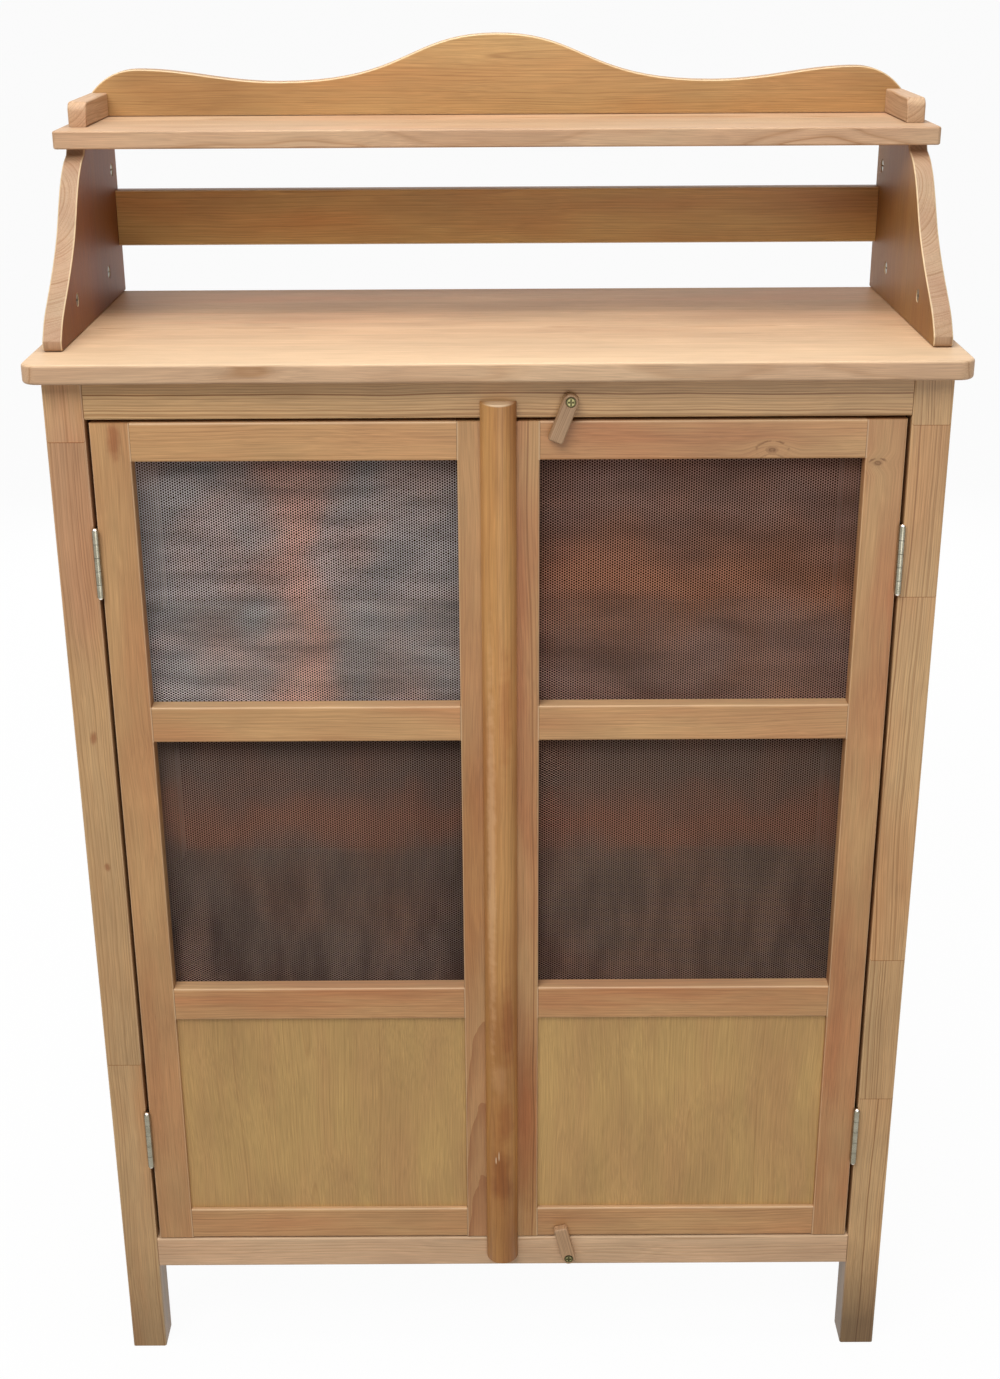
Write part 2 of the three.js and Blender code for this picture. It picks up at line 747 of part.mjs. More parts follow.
// Both leaves of one butt hinge. The post's leaf holds the pin, and the knuckles take turns.
function hingeLeaves(side, centre) {
  const low = centre - hingeHeight / 2;
  const knuckleHeight = (hingeHeight - (knuckleCount - 1) * knuckleGap) / knuckleCount;
  const knuckles = Array.from({ length: knuckleCount }, (_, index) => {
    const start = low + index * (knuckleHeight + knuckleGap);
    return [start, start + knuckleHeight];
  });
  const axis = { x: side * hingeX, y: hingeY };
  const plateY = [hingeY + barrelRadius + knuckleGap, hingeY + leafWidth];
  const bridgeY = [hingeY, plateY[0] + knuckleGap];
  const leafNear = leafGap / 2;
  const leafFar = doorSideGap / 2 - leafSeat;
  const leaf = (direction, turns) => {
    const x = sided(side, ...(direction > 0
      ? [hingeX + leafNear, hingeX + leafFar]
      : [hingeX - leafFar, hingeX - leafNear]));
    const own = knuckles.filter((_, index) => index % 2 === turns);
    const bridges = own.map((z) => block({ x, y: bridgeY, z }));
    const barrels = own.map((z) => roundBar('z', barrelRadius, axis, z, barrelSegments));
    return { plate: block({ x, y: plateY, z: [low, low + hingeHeight] }), grips: [...bridges, ...barrels] };
  };
  const onPost = leaf(1, 0);
  const onDoor = leaf(-1, 1);
  const pin = roundBar('z', pinRadius, axis, [low, low + hingeHeight], barrelSegments);
  const tips = [low, low + hingeHeight].map((z) => {
    const tip = new THREE.SphereGeometry(pinTipRadius, barrelSegments / 2, pinTipRings);
    tip.rotateX(Math.PI / 2);
    tip.translate(axis.x, axis.y, z);
    return tip;
  });
  const boreZ = grown([low, low + hingeHeight], cutOverrun);
  const bore = roundBar('z', pinRadius + pinClearance, axis, boreZ, barrelSegments);
  return {
    post: worked(onPost.plate, { add: [...onPost.grips, pin, ...tips] }),
    door: worked(onDoor.plate, { add: onDoor.grips, cut: [bore] }),
  };
}

function makeHinges() {
  for (const [sideName, side] of Object.entries(sides)) {
    for (const [level, centre] of Object.entries(hingeCentres)) {
      const leaves = hingeLeaves(side, centre);
      place(`hinge_${level}_${sideName}_post_leaf`, leaves.post, 'hingeSteel');
      place(`hinge_${level}_${sideName}_door_leaf`, leaves.door, 'hingeSteel');
    }
  }
}

// A turn button that hangs from its pivot at the origin, drawn on height and width
function turnShape() {
  const radius = turnWidth / 2;
  const tip = radius - turnLength;
  const points = [];
  for (let step = 0; step <= turnSegments; step++) {
    const angle = Math.PI * (step / turnSegments - 1 / 2);
    points.push(new THREE.Vector2(radius * Math.cos(angle), radius * Math.sin(angle)));
  }
  for (const sign of [1, -1]) {
    const corner = [
      new THREE.Vector2(tip + turnTipCorner, sign * radius),
      new THREE.Vector2(tip, sign * (radius - turnTipCorner)),
    ];
    points.push(...(sign > 0 ? corner : corner.reverse()));
  }
  return new THREE.Shape(points);
}

function turnButton(lean) {
  const button = extruded('y', turnShape(), [turnFrontY, turnBackY], turnEase);
  button.rotateY(lean);
  return button;
}

// A countersunk screw along Y, its head's rim at the button's front face
function screw() {
  const profile = [
    [0, -screwCrown], [screwHeadRadius / 2, -screwCrown], [screwHeadRadius, 0],
    [screwShankRadius, screwHeadDepth], [screwShankRadius, screwLength - screwPoint], [0, screwLength],
  ];
  const geometry = new THREE.LatheGeometry(profile.map(([r, y]) => new THREE.Vector2(r, y)), screwSegments);
  return worked(geometry, {});
}

function makeTurnButtons() {
  const places = {
    upper: { across: upperTurnAcross, height: upperTurnZ, lean: upperTurnLean },
    lower: { across: lowerTurnAcross, height: lowerTurnZ, lean: Math.PI - lowerTurnLean },
  };
  for (const [level, { across, height, lean }] of Object.entries(places)) {
    const button = turnButton(lean);
    button.translate(across, 0, height);
    const at = { x: across, z: height };
    const sink = roundBar('y', screwHeadRadius + 2 * fitGap, at,
      [turnFrontY - fitGap, turnFrontY + screwHeadDepth + fitGap], screwSegments, turnBoreRadius);
    place(`turn_button_${level}`, worked(button, { cut: [screwBore(across, height), sink] }), 'fir');
    const fastener = screw();
    fastener.translate(across, turnFrontY, height);
    place(`turn_screw_${level}`, fastener, 'screwBrass');
  }
}

makePosts();
makeRails();
makePanelsAndShelves();
makeTabletop();
makeHutch();
makeDoors();
makeMoulding();
makeHinges();
makeTurnButtons();

export default cupboard;
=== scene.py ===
"""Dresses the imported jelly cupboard: lacquered fir, steel netting, butt hinges and turn buttons."""

import logging
import math
import random
from dataclasses import dataclass, field, replace
from enum import Enum

import bmesh
import bpy
from mathutils import Euler, Matrix, Vector
from mathutils.geometry import interpolate_bezier


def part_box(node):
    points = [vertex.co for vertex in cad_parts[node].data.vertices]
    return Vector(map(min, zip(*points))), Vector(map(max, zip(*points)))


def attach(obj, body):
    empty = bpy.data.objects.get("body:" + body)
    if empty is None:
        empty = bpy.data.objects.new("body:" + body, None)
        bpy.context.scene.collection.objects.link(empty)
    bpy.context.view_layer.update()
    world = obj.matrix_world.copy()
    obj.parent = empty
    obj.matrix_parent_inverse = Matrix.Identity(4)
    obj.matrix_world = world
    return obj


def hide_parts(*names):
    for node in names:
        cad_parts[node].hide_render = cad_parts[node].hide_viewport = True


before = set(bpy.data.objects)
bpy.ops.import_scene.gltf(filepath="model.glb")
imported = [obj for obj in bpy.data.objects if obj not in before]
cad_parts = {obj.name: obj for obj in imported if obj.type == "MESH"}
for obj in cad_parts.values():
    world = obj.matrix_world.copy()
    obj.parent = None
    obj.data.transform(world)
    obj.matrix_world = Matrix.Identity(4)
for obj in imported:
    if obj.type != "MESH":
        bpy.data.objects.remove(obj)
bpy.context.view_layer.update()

log = logging.getLogger("jelly_cupboard")

Point = tuple[float, float, float]
Pair = tuple[float, float]
Colour = tuple[float, float, float, float]
Tree = bpy.types.NodeTree
Socket = bpy.types.NodeSocket
Mesh = bmesh.types.BMesh
Edge = bmesh.types.BMEdge

MM = 0.001
NEAR = 1e-4
SOFT_ANGLE = math.radians(35)
WHITE = (1, 1, 1, 1)


def linear(hex_colour: str) -> Colour:
    """Turn an sRGB hex value into a linear colour.

    Args:
        hex_colour: Six hex digits after a hash.

    Returns:
        Linear red, green and blue, and an alpha of one.
    """
    shares = [int(hex_colour[start:start + 2], 16) / 255 for start in (1, 3, 5)]
    red, green, blue = (
        share / 12.92 if share <= 0.04045 else ((share + 0.055) / 1.055) ** 2.4 for share in shares
    )
    return red, green, blue, 1.0


def add_node(
    tree: Tree, kind: str, inputs: dict | tuple = (), out: int | str = 0, **settings: object
) -> Socket | None:
    """Add a node with its settings, values and links.

    Args:
        tree: The node tree that takes the node.
        kind: The node's type name, without the "ShaderNode" that it may start with.
        inputs: Values, or sockets that feed the node: in order, or each with its name or number.
        out: The name or number of the output that is wanted.
        settings: The node's own properties.

    Returns:
        That output, or None where the node has none.
    """
    made = tree.nodes.new(kind if kind.startswith("Node") else f"ShaderNode{kind}")
    for name, value in settings.items():
        setattr(made, name, value)
    for key, value in inputs.items() if isinstance(inputs, dict) else enumerate(inputs):
        if isinstance(value, Socket):
            tree.links.new(value, made.inputs[key])
        else:
            made.inputs[key].default_value = value
    return made.outputs[out] if made.outputs else None


def new_material(name: str) -> tuple[bpy.types.Material, Tree]:
    """Start a node material.

    Args:
        name: The material's name.

    Returns:
        The material and its empty tree.
    """
    material = bpy.data.materials.new(name)
    material.use_nodes = True
    material.node_tree.nodes.clear()
    return material, material.node_tree


def off_middle(tree: Tree, value: Socket, middle: float) -> Socket:
    """Measure how far a value is from a middle one.

    Args:
        tree: The node tree.
        value: The value.
        middle: The middle one.

    Returns:
        The distance, never below zero.
    """
    away = add_node(tree, "Math", (value, middle), operation="SUBTRACT")
    return add_node(tree, "Math", (away,), operation="ABSOLUTE")


def reach(tree: Tree, place: Socket, middle: Point | Vector) -> Socket:
    """Measure how far a place lies from a point along each axis.

    Args:
        tree: The node tree.
        place: The place.
        middle: The point.

    Returns:
        The three distances as a vector, never below zero.
    """
    away = add_node(tree, "VectorMath", (place, middle), operation="SUBTRACT")
    return add_node(tree, "VectorMath", (away,), operation="ABSOLUTE")


def streaks(tree: Tree, place: Socket, grain: Point, detail: float, roughness: float = 0.5) -> Socket:
    """Draw noise that is stretched along an axis.

    Args:
        tree: The node tree.
        place: The coordinates in millimetres.
        grain: How many patches there are to a millimetre on each axis.
        detail: How many finer layers the noise has.
        roughness: How strong the finer layers are.

    Returns:
        The noise's value. Its node has a colour too.
    """
    stretched = add_node(tree, "VectorMath", (place, grain), operation="MULTIPLY")
    values = {"Vector": stretched, "Scale": 1.0, "Detail": detail, "Roughness": roughness}
    return add_node(tree, "TexNoise", values)


# Wood


class Grain(Enum):
    """Which way a board's grain runs. The value turns that direction to Z, in degrees."""

    ACROSS = (0, -90, 0)
    DEEP = (90, 0, 0)
    UPRIGHT = (0, 0, 0)

    def turn(self, lean: float) -> Euler:
        """Give the turn that lays the grain of a board leaning by some degrees along Z."""
        x, y, z = self.value
        return Euler((math.radians(x), math.radians(y - lean), math.radians(z)))


@dataclass(frozen=True)
class Timber:
    """A planed wood under satin lacquer. Pale early wood and darker late wood show the year rings.

    The blush is the warm cast of heartwood, which comes and goes along a board.
    """

    name: str
    early: str
    late: str
    blush: str
    ring_mm: float = 2.6
    depth: float = 0.75
    wander_mm: float = 16.0
    blush_share: float = 0.5
    stave_contrast: float = 0.12
    roughness: float = 0.42
    gloss: float = 0.3
    relief_mm: float = 0.12


# Fir sawn on the quarter, planed and lacquered: fine straight lines on straw under a satin sheen
FIR = Timber("lacquered_fir", "#c7a173", "#86592f", "#bf8a5b", ring_mm=3.0, depth=0.85)

# Fir with more heartwood, planed and lacquered: a redder ground, and lines that hardly show
DOOR_FIR = Timber(
    "door_fir", "#c39868", "#8e5f38", "#b67a50", depth=0.55, ring_mm=3.4, blush_share=0.6
)

# Fir turned to a half round and lacquered thickly: the amber of honey, with cloudy lines
MOULDING_FIR = Timber(
    "moulding_fir", "#cb975c", "#96602c", "#ab7040", depth=0.4, ring_mm=4.2, blush_share=0.9
)

# Slow-grown fir, cut small and sanded round: dense lines on a greyer ground
BUTTON_FIR = Timber("button_fir", "#c09c78", "#7d5d3f", "#a8805c", depth=0.7, ring_mm=1.9)

# Fir staves glued edge to edge, sanded and wiped often: paler and duller, each stave its own tone
PLANK_FIR = Timber(
    "edge_glued_fir", "#cba986", "#a1744a", "#c39473", depth=0.75, ring_mm=3.2, wander_mm=22, roughness=0.5
)

# Plywood painted nearly black as the shade inside the cupboard: matt, so that the netting stands out before
# it
SHADED_PLYWOOD = Timber(
    "dark_lining_plywood", "#2d1f18", "#231812", "#301f18", depth=0.5, ring_mm=2.4, roughness=0.7, gloss=0.04
)

# Veneer sliced from a log and lacquered: greenish gold in broad soft figure, and hardly any relief
VENEER = Timber(
    "sliced_veneer", "#bf9a61", "#966b3c", "#b4835a", depth=0.35, ring_mm=3.2, blush_share=0.45, wander_mm=26,
    relief_mm=0.05,
)

# The space behind the doors, whose walls get painted shade: its centre and half its sides, in mm
ROOM_CENTRE = (0.0, 14.9, 639.0)
ROOM_HALF = (421.0, 167.9, 499.0)

# The glue in a finger joint, a knot's bark, the painted highlight on tops and front edges, and the painted
# highlight by a tinted board's arrises
GLUE, BARK, PAINTED_HIGHLIGHT, EDGE_HIGHLIGHT = "#c9ad8f", "#6b421f", "#f2d6b0", "#f2dcb4"


@dataclass
class Paint:
    """A board's wood as mixed so far: its tree, the place in the row frame in mm, and its colour."""

    tree: Tree
    row: Socket
    colour: Socket


@dataclass(frozen=True)
class Knot:
    """A knot on a board's front face, at a place in the row frame, in millimetres.

    The bark is how far from its heart a dark line of bark runs over it. The heart, the wobble of
    its edge, and how far it bends the grain and from where, are shares of its size.
    """

    x: float
    z: float
    size: float
    bark: float
    oval: Point = (0.7, 0, 1.25)
    heart: Pair = (1.25, 0.7)
    wobble: float = 0.6
    bend_from: float = 4.5
    bend_by: float = 1.5
    ring_mm: float = 1.1
    bark_mm: Pair = (1.5, 0.3)
    bark_over: Pair = (-1.0, 3.0)

    def bend(self, tree: Tree, row: Socket, place: Socket) -> tuple[Socket, Socket]:
        """Bend the grain round the knot.

        Args:
            tree: The material's node tree.
            row: The row frame's coordinates in millimetres.
            place: The board's coordinates, which the knot pushes aside.

        Returns:
            The board's coordinates with the grain bent, and the distance from the knot's heart.
        """
        away = add_node(tree, "VectorMath", (row, (self.x, 0, self.z)), operation="SUBTRACT")
        flat = add_node(tree, "VectorMath", (away, self.oval), operation="MULTIPLY")
        noise = add_node(tree, "TexNoise", {"Vector": row, "Scale": 0.35, "Detail": 2.0})
        length = add_node(tree, "VectorMath", (flat,), "Value", operation="LENGTH")
        wobble = self.size * self.wobble
        distance = add_node(tree, "Math", (noise, wobble, length), operation="MULTIPLY_ADD")
        span = (distance, self.size * self.bend_from, wobble, 0.0, self.size * self.bend_by)
        push = add_node(tree, "MapRange", span, interpolation_type="SMOOTHSTEP")
        shift = add_node(tree, "CombineXYZ", (push,))
        return add_node(tree, "VectorMath", (place, shift), operation="ADD"), distance

    def lay(self, paint: Paint, distance: Socket) -> None:
        """Darken the knot's heart, and draw the bark that lies in an arc over it.

        Args:
            paint: The wood.
            distance: The distance from the knot's heart.
        """
        tree = paint.tree
        rim, core = (self.size * share for share in self.heart)
        heart = add_node(tree, "MapRange", (distance, rim, core, 0.0, 0.85))
        rings = add_node(tree, "Math", (distance, self.ring_mm), operation="PINGPONG")
        shade = add_node(tree, "MapRange", (rings, 0.0, self.ring_mm, 0.55, 1.0))
        share = add_node(tree, "Math", (heart, shade), operation="MULTIPLY")
        off = off_middle(tree, distance, self.bark)
        bark = add_node(tree, "MapRange", (off, *self.bark_mm, 0.0, 0.75))
        patchy = add_node(tree, "TexNoise", {"Vector": paint.row, "Scale": 0.12, "Detail": 1.0})
        seen = add_node(tree, "MapRange", (patchy, 0.42, 0.55, 0.1, 1.0))
        height = add_node(tree, "SeparateXYZ", (paint.row,), 2)
        low, high = (self.z + rise for rise in self.bark_over)
        over = add_node(tree, "MapRange", (height, low, high, 0.1, 1.0))
        for limit in (seen, over):
            bark = add_node(tree, "Math", (bark, limit), operation="MULTIPLY")
        share = add_node(tree, "Math", (share, bark), operation="MAXIMUM")
        mix = {0: share, 6: paint.colour, 7: linear(BARK)}
        paint.colour = add_node(tree, "Mix", mix, 2, data_type="RGBA")


@dataclass(frozen=True)
class Stain:
    """A soft-edged patch on a board's front, in the row frame, in mm. A pale one covers the grain.

    Its edge strays by the ragged share of its size, and it is full within the full share of it.
    """

    x: float
    z: float
    half_width: float
    half_height: float
    colour: str
    share: float = 0.6
    pale: bool = False
    ragged: float = 0.9
    full_share: float = 0.45

    def lay(self, paint: Paint) -> None:
        """Lay the stain on the wood.

        Args:
            paint: The wood.
        """
        tree, row = paint.tree, paint.row
        away = add_node(tree, "VectorMath", (row, (self.x, 0, self.z)), operation="SUBTRACT")
        shares = (1 / self.half_width, 0, 1 / self.half_height)
        flat = add_node(tree, "VectorMath", (away, shares), operation="MULTIPLY")
        length = add_node(tree, "VectorMath", (flat,), "Value", operation="LENGTH")
        wobble = add_node(tree, "TexNoise", {"Vector": row, "Scale": 0.7 / self.half_width, "Detail": 3.0})
        distance = add_node(tree, "Math", (wobble, self.ragged, length), operation="MULTIPLY_ADD")
        edge = 1 + self.ragged / 2
        span = (distance, edge, edge * self.full_share, 0.0, self.share)
        share = add_node(tree, "MapRange", span, interpolation_type="SMOOTHSTEP")
        mix = {0: share, 6: paint.colour, 7: linear(self.colour)}
        blend = "MIX" if self.pale else "MULTIPLY"
        paint.colour = add_node(tree, "Mix", mix, 2, data_type="RGBA", blend_type=blend)


@dataclass(frozen=True)
class Arches:
    """Darker arches up a flat-sawn board: the highest one's top, their spacing and steepness, in mm."""

    x: float
    z: float
    pitch: float
    steepness: float
    count: int
    colour: str = "#b9805f"
    share: float = 0.42
    wobble: float = 0.5

    def lay(self, paint: Paint) -> None:
        """Draw the arches where the board skims its rings.

        Args:
            paint: The wood.
        """
        tree = paint.tree
        top = add_node(tree, "VectorMath", (paint.row, (self.x, 0, self.z)), operation="SUBTRACT")
        axes = add_node(tree, "SeparateXYZ", (top,)).node.outputs
        aside = add_node(tree, "Math", (axes[0],), operation="ABSOLUTE")
        cube = add_node(tree, "Math", (aside, 3.0), operation="POWER")
        bowed = add_node(tree, "Math", (cube, self.steepness, axes[2]), operation="MULTIPLY_ADD")
        noise = add_node(tree, "TexNoise", {"Vector": paint.row, "Scale": 0.03, "Detail": 2.0})
        shift = self.pitch * self.wobble
        height = add_node(tree, "Math", (noise, shift, bowed), operation="MULTIPLY_ADD")
        turns = add_node(tree, "Math", (height, self.pitch), operation="DIVIDE")
        inside = add_node(tree, "Math", (turns, 0.0), operation="LESS_THAN")
        started = add_node(tree, "Math", (turns, -self.count), operation="GREATER_THAN")
        part = add_node(tree, "Math", (turns,), operation="FRACT")
        share = add_node(tree, "MapRange", (part, 0.25, 0.95, 0.0, self.share))
        for limit in (inside, started):
            share = add_node(tree, "Math", (share, limit), operation="MULTIPLY")
        mix = {0: share, 6: paint.colour, 7: linear(self.colour)}
        paint.colour = add_node(tree, "Mix", mix, 2, data_type="RGBA", blend_type="MULTIPLY")


@dataclass
class Board:
    """One board: its node, how it was sawn from the tree, and its marks.

    The pith is how far the tree's centre lies from the board's, in mm, along the two directions
    across the grain. Joints are the heights in mm at which short staves are finger-jointed. A
    painted highlight pales its front edges and, on a level board, its top; painted light pales the
    top of a board towards its front by a given share. A colour multiplies its broad faces: a tint on
    most boards, and painted shade on the brackets, beside painted highlights on their arrises.
    Painted shade darkens a post towards the floor, and near-black painted shade covers the faces
    that look into the cupboard. The depth and blush share stand in for its timber's.
    """

    node: str
    grain: Grain
    timber: Timber
    pith: Pair = (62.0, 18.0)
    tone: float = 1.0
    joints: tuple[float, ...] = ()
    stave_width: float = 0.0
    knots: tuple[Knot, ...] = ()
    marks: tuple[Stain | Arches, ...] = ()
    arris: float = 0.0
    wiped: float | None = None
    skin: str = ""
    depth: float | None = None
    blush_share: float | None = None
    lean: float = 0.0
    lined: bool = False
    foot_tone: float = 1.0

    # The same for every board, in mm. A pair is where a change starts and where it is complete
    joint_pitch: float = 6.4
    joint_slope: float = 2.8
    joint_line: float = 0.35
    worn_edge: Pair = (1.5, 0.7)
    worn_back: Pair = (4.5, 3.0)
    worn_top: Pair = (3.0, 0.2)
    wiped_y: Pair = (8.0, 150.0)
    pale_edge: Pair = (1.6, 0.9)
    skin_edge: Pair = (0.4, 0.1)
    lining_depth: float = 0.8
    foot_z: Pair = (30.0, 150.0)

    # How strong the painted highlight on top, the painted highlight by a tinted board's arrises and the
    # near-black painted shade inside are
    top_share: float = 0.35
    pale_share: float = 0.55
    lining_share: float = 0.92

    def _place(self, tree: Tree) -> tuple[Socket, Socket]:
        """Give the board's own coordinates, with the grain along Z and the pith at the centre.

        Args:
            tree: The material's node tree.

        Returns:
            The sockets of the board's coordinates and of the row frame's, both in millimetres.
        """
        low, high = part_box(self.node)
        turn = self.grain.turn(self.lean)
        centre = turn.to_matrix() @ (low + high) / 2 / MM
        rng = random.Random(self.node)
        location = (self.pith[0] - centre.x, self.pith[1] - centre.y, rng.uniform(500, 4000))
        source = add_node(tree, "TexCoord", out="Object")
        row = add_node(tree, "VectorMath", {0: source, 3: 1 / MM}, operation="SCALE")
        return add_node(tree, "Mapping", {"Vector": row, "Location": location, "Rotation": turn}), row

    def _staves(self, tree: Tree, row: Socket) -> tuple[Socket | float, Socket | float]:
        """Number the staves of a finger-jointed or edge-glued board.

        Args:
            tree: The material's node tree.
            row: The row frame's coordinates in millimetres.

        Returns:
            The stave's number, and the share of the glue line that shows.
        """
        number, line = 0.0, 0.0
        if self.stave_width or self.joints:
            axes = add_node(tree, "SeparateXYZ", (row,)).node.outputs
        if self.stave_width:
            widths = add_node(tree, "Math", (axes[1], self.stave_width), operation="DIVIDE")
            number = add_node(tree, "Math", (widths,), operation="FLOOR")
        elif self.joints:
            finger = add_node(tree, "Math", (axes[1], self.joint_pitch / 2), operation="PINGPONG")
            height = add_node(tree, "Math", (finger, self.joint_slope, axes[2]), operation="MULTIPLY_ADD")
            for joint in self.joints:
                above = add_node(tree, "Math", (height, joint), operation="GREATER_THAN")
                number = add_node(tree, "Math", (above, number), operation="ADD")
                glue = add_node(tree, "Math", (height, joint, self.joint_line), operation="COMPARE")
                line = add_node(tree, "Math", (glue, line), operation="ADD")
        return number, line

    def _arrised(self, paint: Paint) -> None:
        """Paint a highlight, as of light from above, on a level board's top and its front edge, or on an
        upright's front edges.

        Args:
            paint: The wood.
        """
        tree = paint.tree
        low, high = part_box(self.node)
        corner = (low.x / MM, low.y / MM, high.z / MM)
        axes = add_node(tree, "SeparateXYZ", (reach(tree, paint.row, corner),)).node.outputs
        side = axes[2]
        if self.grain is Grain.UPRIGHT:
            other = off_middle(tree, axes[0], (high.x - low.x) / MM)
            side = add_node(tree, "Math", (axes[0], other), operation="MINIMUM")
        edge = add_node(tree, "Math", (side, axes[1]), operation="MAXIMUM")
        share = add_node(tree, "MapRange", (edge, *self.worn_edge, 0.0, self.arris))
        if self.grain is Grain.ACROSS:
            top_light = self.arris * self.top_share
            if self.wiped is not None:
                start, stop = ((high.y - low.y) / MM - inset for inset in self.worn_back)
                front = add_node(tree, "MapRange", (axes[1], *self.wiped_y, self.wiped, 0.0))
                behind = add_node(tree, "MapRange", (axes[1], start, stop, 0.0, self.arris))
                top_light = add_node(tree, "Math", (front, behind), operation="MAXIMUM")
            top = add_node(tree, "MapRange", (side, *self.worn_top, 0.0, top_light))
            share = add_node(tree, "Math", (share, top), operation="MAXIMUM")
        mix = {0: share, 6: paint.colour, 7: linear(PAINTED_HIGHLIGHT)}
        paint.colour = add_node(tree, "Mix", mix, 2, data_type="RGBA")

    def _skinned(self, paint: Paint) -> None:
        """Multiply a board's broad faces by a colour, which on the brackets is painted shade, and paint
        highlights on its arrises.

        Args:
            paint: The wood.
        """
        tree = paint.tree
        low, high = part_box(self.node)
        sides = (high - low) / MM
        thin = min(range(3), key=lambda axis: sides[axis])
        half = sides[thin] / 2
        flat = reach(tree, paint.row, (low + high) / 2 / MM)
        depth = add_node(tree, "SeparateXYZ", (flat,), thin)
        edge, skin = ([half - inset for inset in insets] for insets in (self.pale_edge, self.skin_edge))
        near = add_node(tree, "MapRange", (depth, *edge, 0.0, self.pale_share))
        past = add_node(tree, "MapRange", (depth, *skin, 1.0, 0.0))
        pale = add_node(tree, "Math", (near, past), operation="MULTIPLY")
        face = add_node(tree, "MapRange", (depth, *skin, 0.0, 1.0))
        for share, tint, blend in ((pale, EDGE_HIGHLIGHT, "MIX"), (face, self.skin, "MULTIPLY")):
            mix = {0: share, 6: paint.colour, 7: linear(tint)}
            paint.colour = add_node(tree, "Mix", mix, 2, data_type="RGBA", blend_type=blend)

    def _stained_inside(self, paint: Paint) -> Socket:
        """Paint near-black shade on the faces that look into the cupboard.

        Args:
            paint: The wood.

        Returns:
            How much of the painted shade lies there.
        """
        tree = paint.tree
        flat = reach(tree, paint.row, ROOM_CENTRE)
        past = add_node(tree, "VectorMath", (flat, ROOM_HALF), operation="SUBTRACT")
        axes = add_node(tree, "SeparateXYZ", (past,)).node.outputs
        most = add_node(tree, "Math", (axes[0], axes[1]), operation="MAXIMUM")
        most = add_node(tree, "Math", (most, axes[2]), operation="MAXIMUM")
        share = add_node(tree, "MapRange", (most, 0.0, -self.lining_depth, 0.0, self.lining_share))
        mix = {0: share, 6: paint.colour, 7: linear(SHADED_PLYWOOD.early)}
        paint.colour = add_node(tree, "Mix", mix, 2, data_type="RGBA")
        return share

    def _foot(self, paint: Paint) -> None:
        """Paint shade on a post, darker towards the floor.

        Args:
            paint: The wood.
        """
        height = add_node(paint.tree, "SeparateXYZ", (paint.row,), 2)
        value = add_node(paint.tree, "MapRange", (height, *self.foot_z, self.foot_tone, 1.0))
        paint.colour = add_node(paint.tree, "HueSaturation", {"Value": value, "Color": paint.colour})

    def material(self) -> bpy.types.Material:
        """Mix the board's wood.

        Returns:
            A material whose year rings run through the board's solid, so faces and ends agree.
        """
        timber = self.timber
        material, tree = new_material(f"{timber.name}_{self.node}")
        place, row = self._place(tree)
        number, line = self._staves(tree, row)
        distances = []
        for knot in self.knots:
            place, distance = knot.bend(tree, row, place)
            distances.append(distance)
        values = {
            "Place": place,
            "Stave": number,
            "Ring Width": timber.ring_mm,
            "Wander": timber.wander_mm,
            "Line Depth": timber.depth if self.depth is None else self.depth,
            "Early": linear(timber.early),
            "Late": linear(timber.late),
            "Blush": linear(timber.blush),
            "Blush Share": timber.blush_share if self.blush_share is None else self.blush_share,
            "Stave Contrast": timber.stave_contrast,
            "Tone": self.tone,
        }
        paint = Paint(tree, row, add_node(tree, "Group", values, "Color", node_tree=year_rings()))
        height = paint.colour.node.outputs["Height"]
        if self.joints:
            mix = {0: line, 6: paint.colour, 7: linear(GLUE)}
            paint.colour = add_node(tree, "Mix", mix, 2, data_type="RGBA", blend_type="MULTIPLY")
        for knot, distance in zip(self.knots, distances):
            knot.lay(paint, distance)
        for mark in self.marks:
            mark.lay(paint)
        if self.skin:
            self._skinned(paint)
        if self.arris:
            self._arrised(paint)
        if self.foot_tone < 1:
            self._foot(paint)
        spread = {0: height, 3: timber.roughness + 0.08, 4: timber.roughness - 0.04}
        rough = add_node(tree, "MapRange", spread)
        if self.lined:
            matt = self._stained_inside(paint)
            rough = add_node(tree, "Math", (matt, 0.5, rough), operation="MULTIPLY_ADD", use_clamp=True)
        bump = add_node(tree, "Bump", {"Height": height, "Strength": 0.5, "Distance": timber.relief_mm * MM})
        surface = {"Base Color": paint.colour, "Roughness": rough, "Normal": bump}
        surface["Specular IOR Level"] = timber.gloss
        shader = add_node(tree, "BsdfPrincipled", surface)
        add_node(tree, "OutputMaterial", (shader,))
        return material


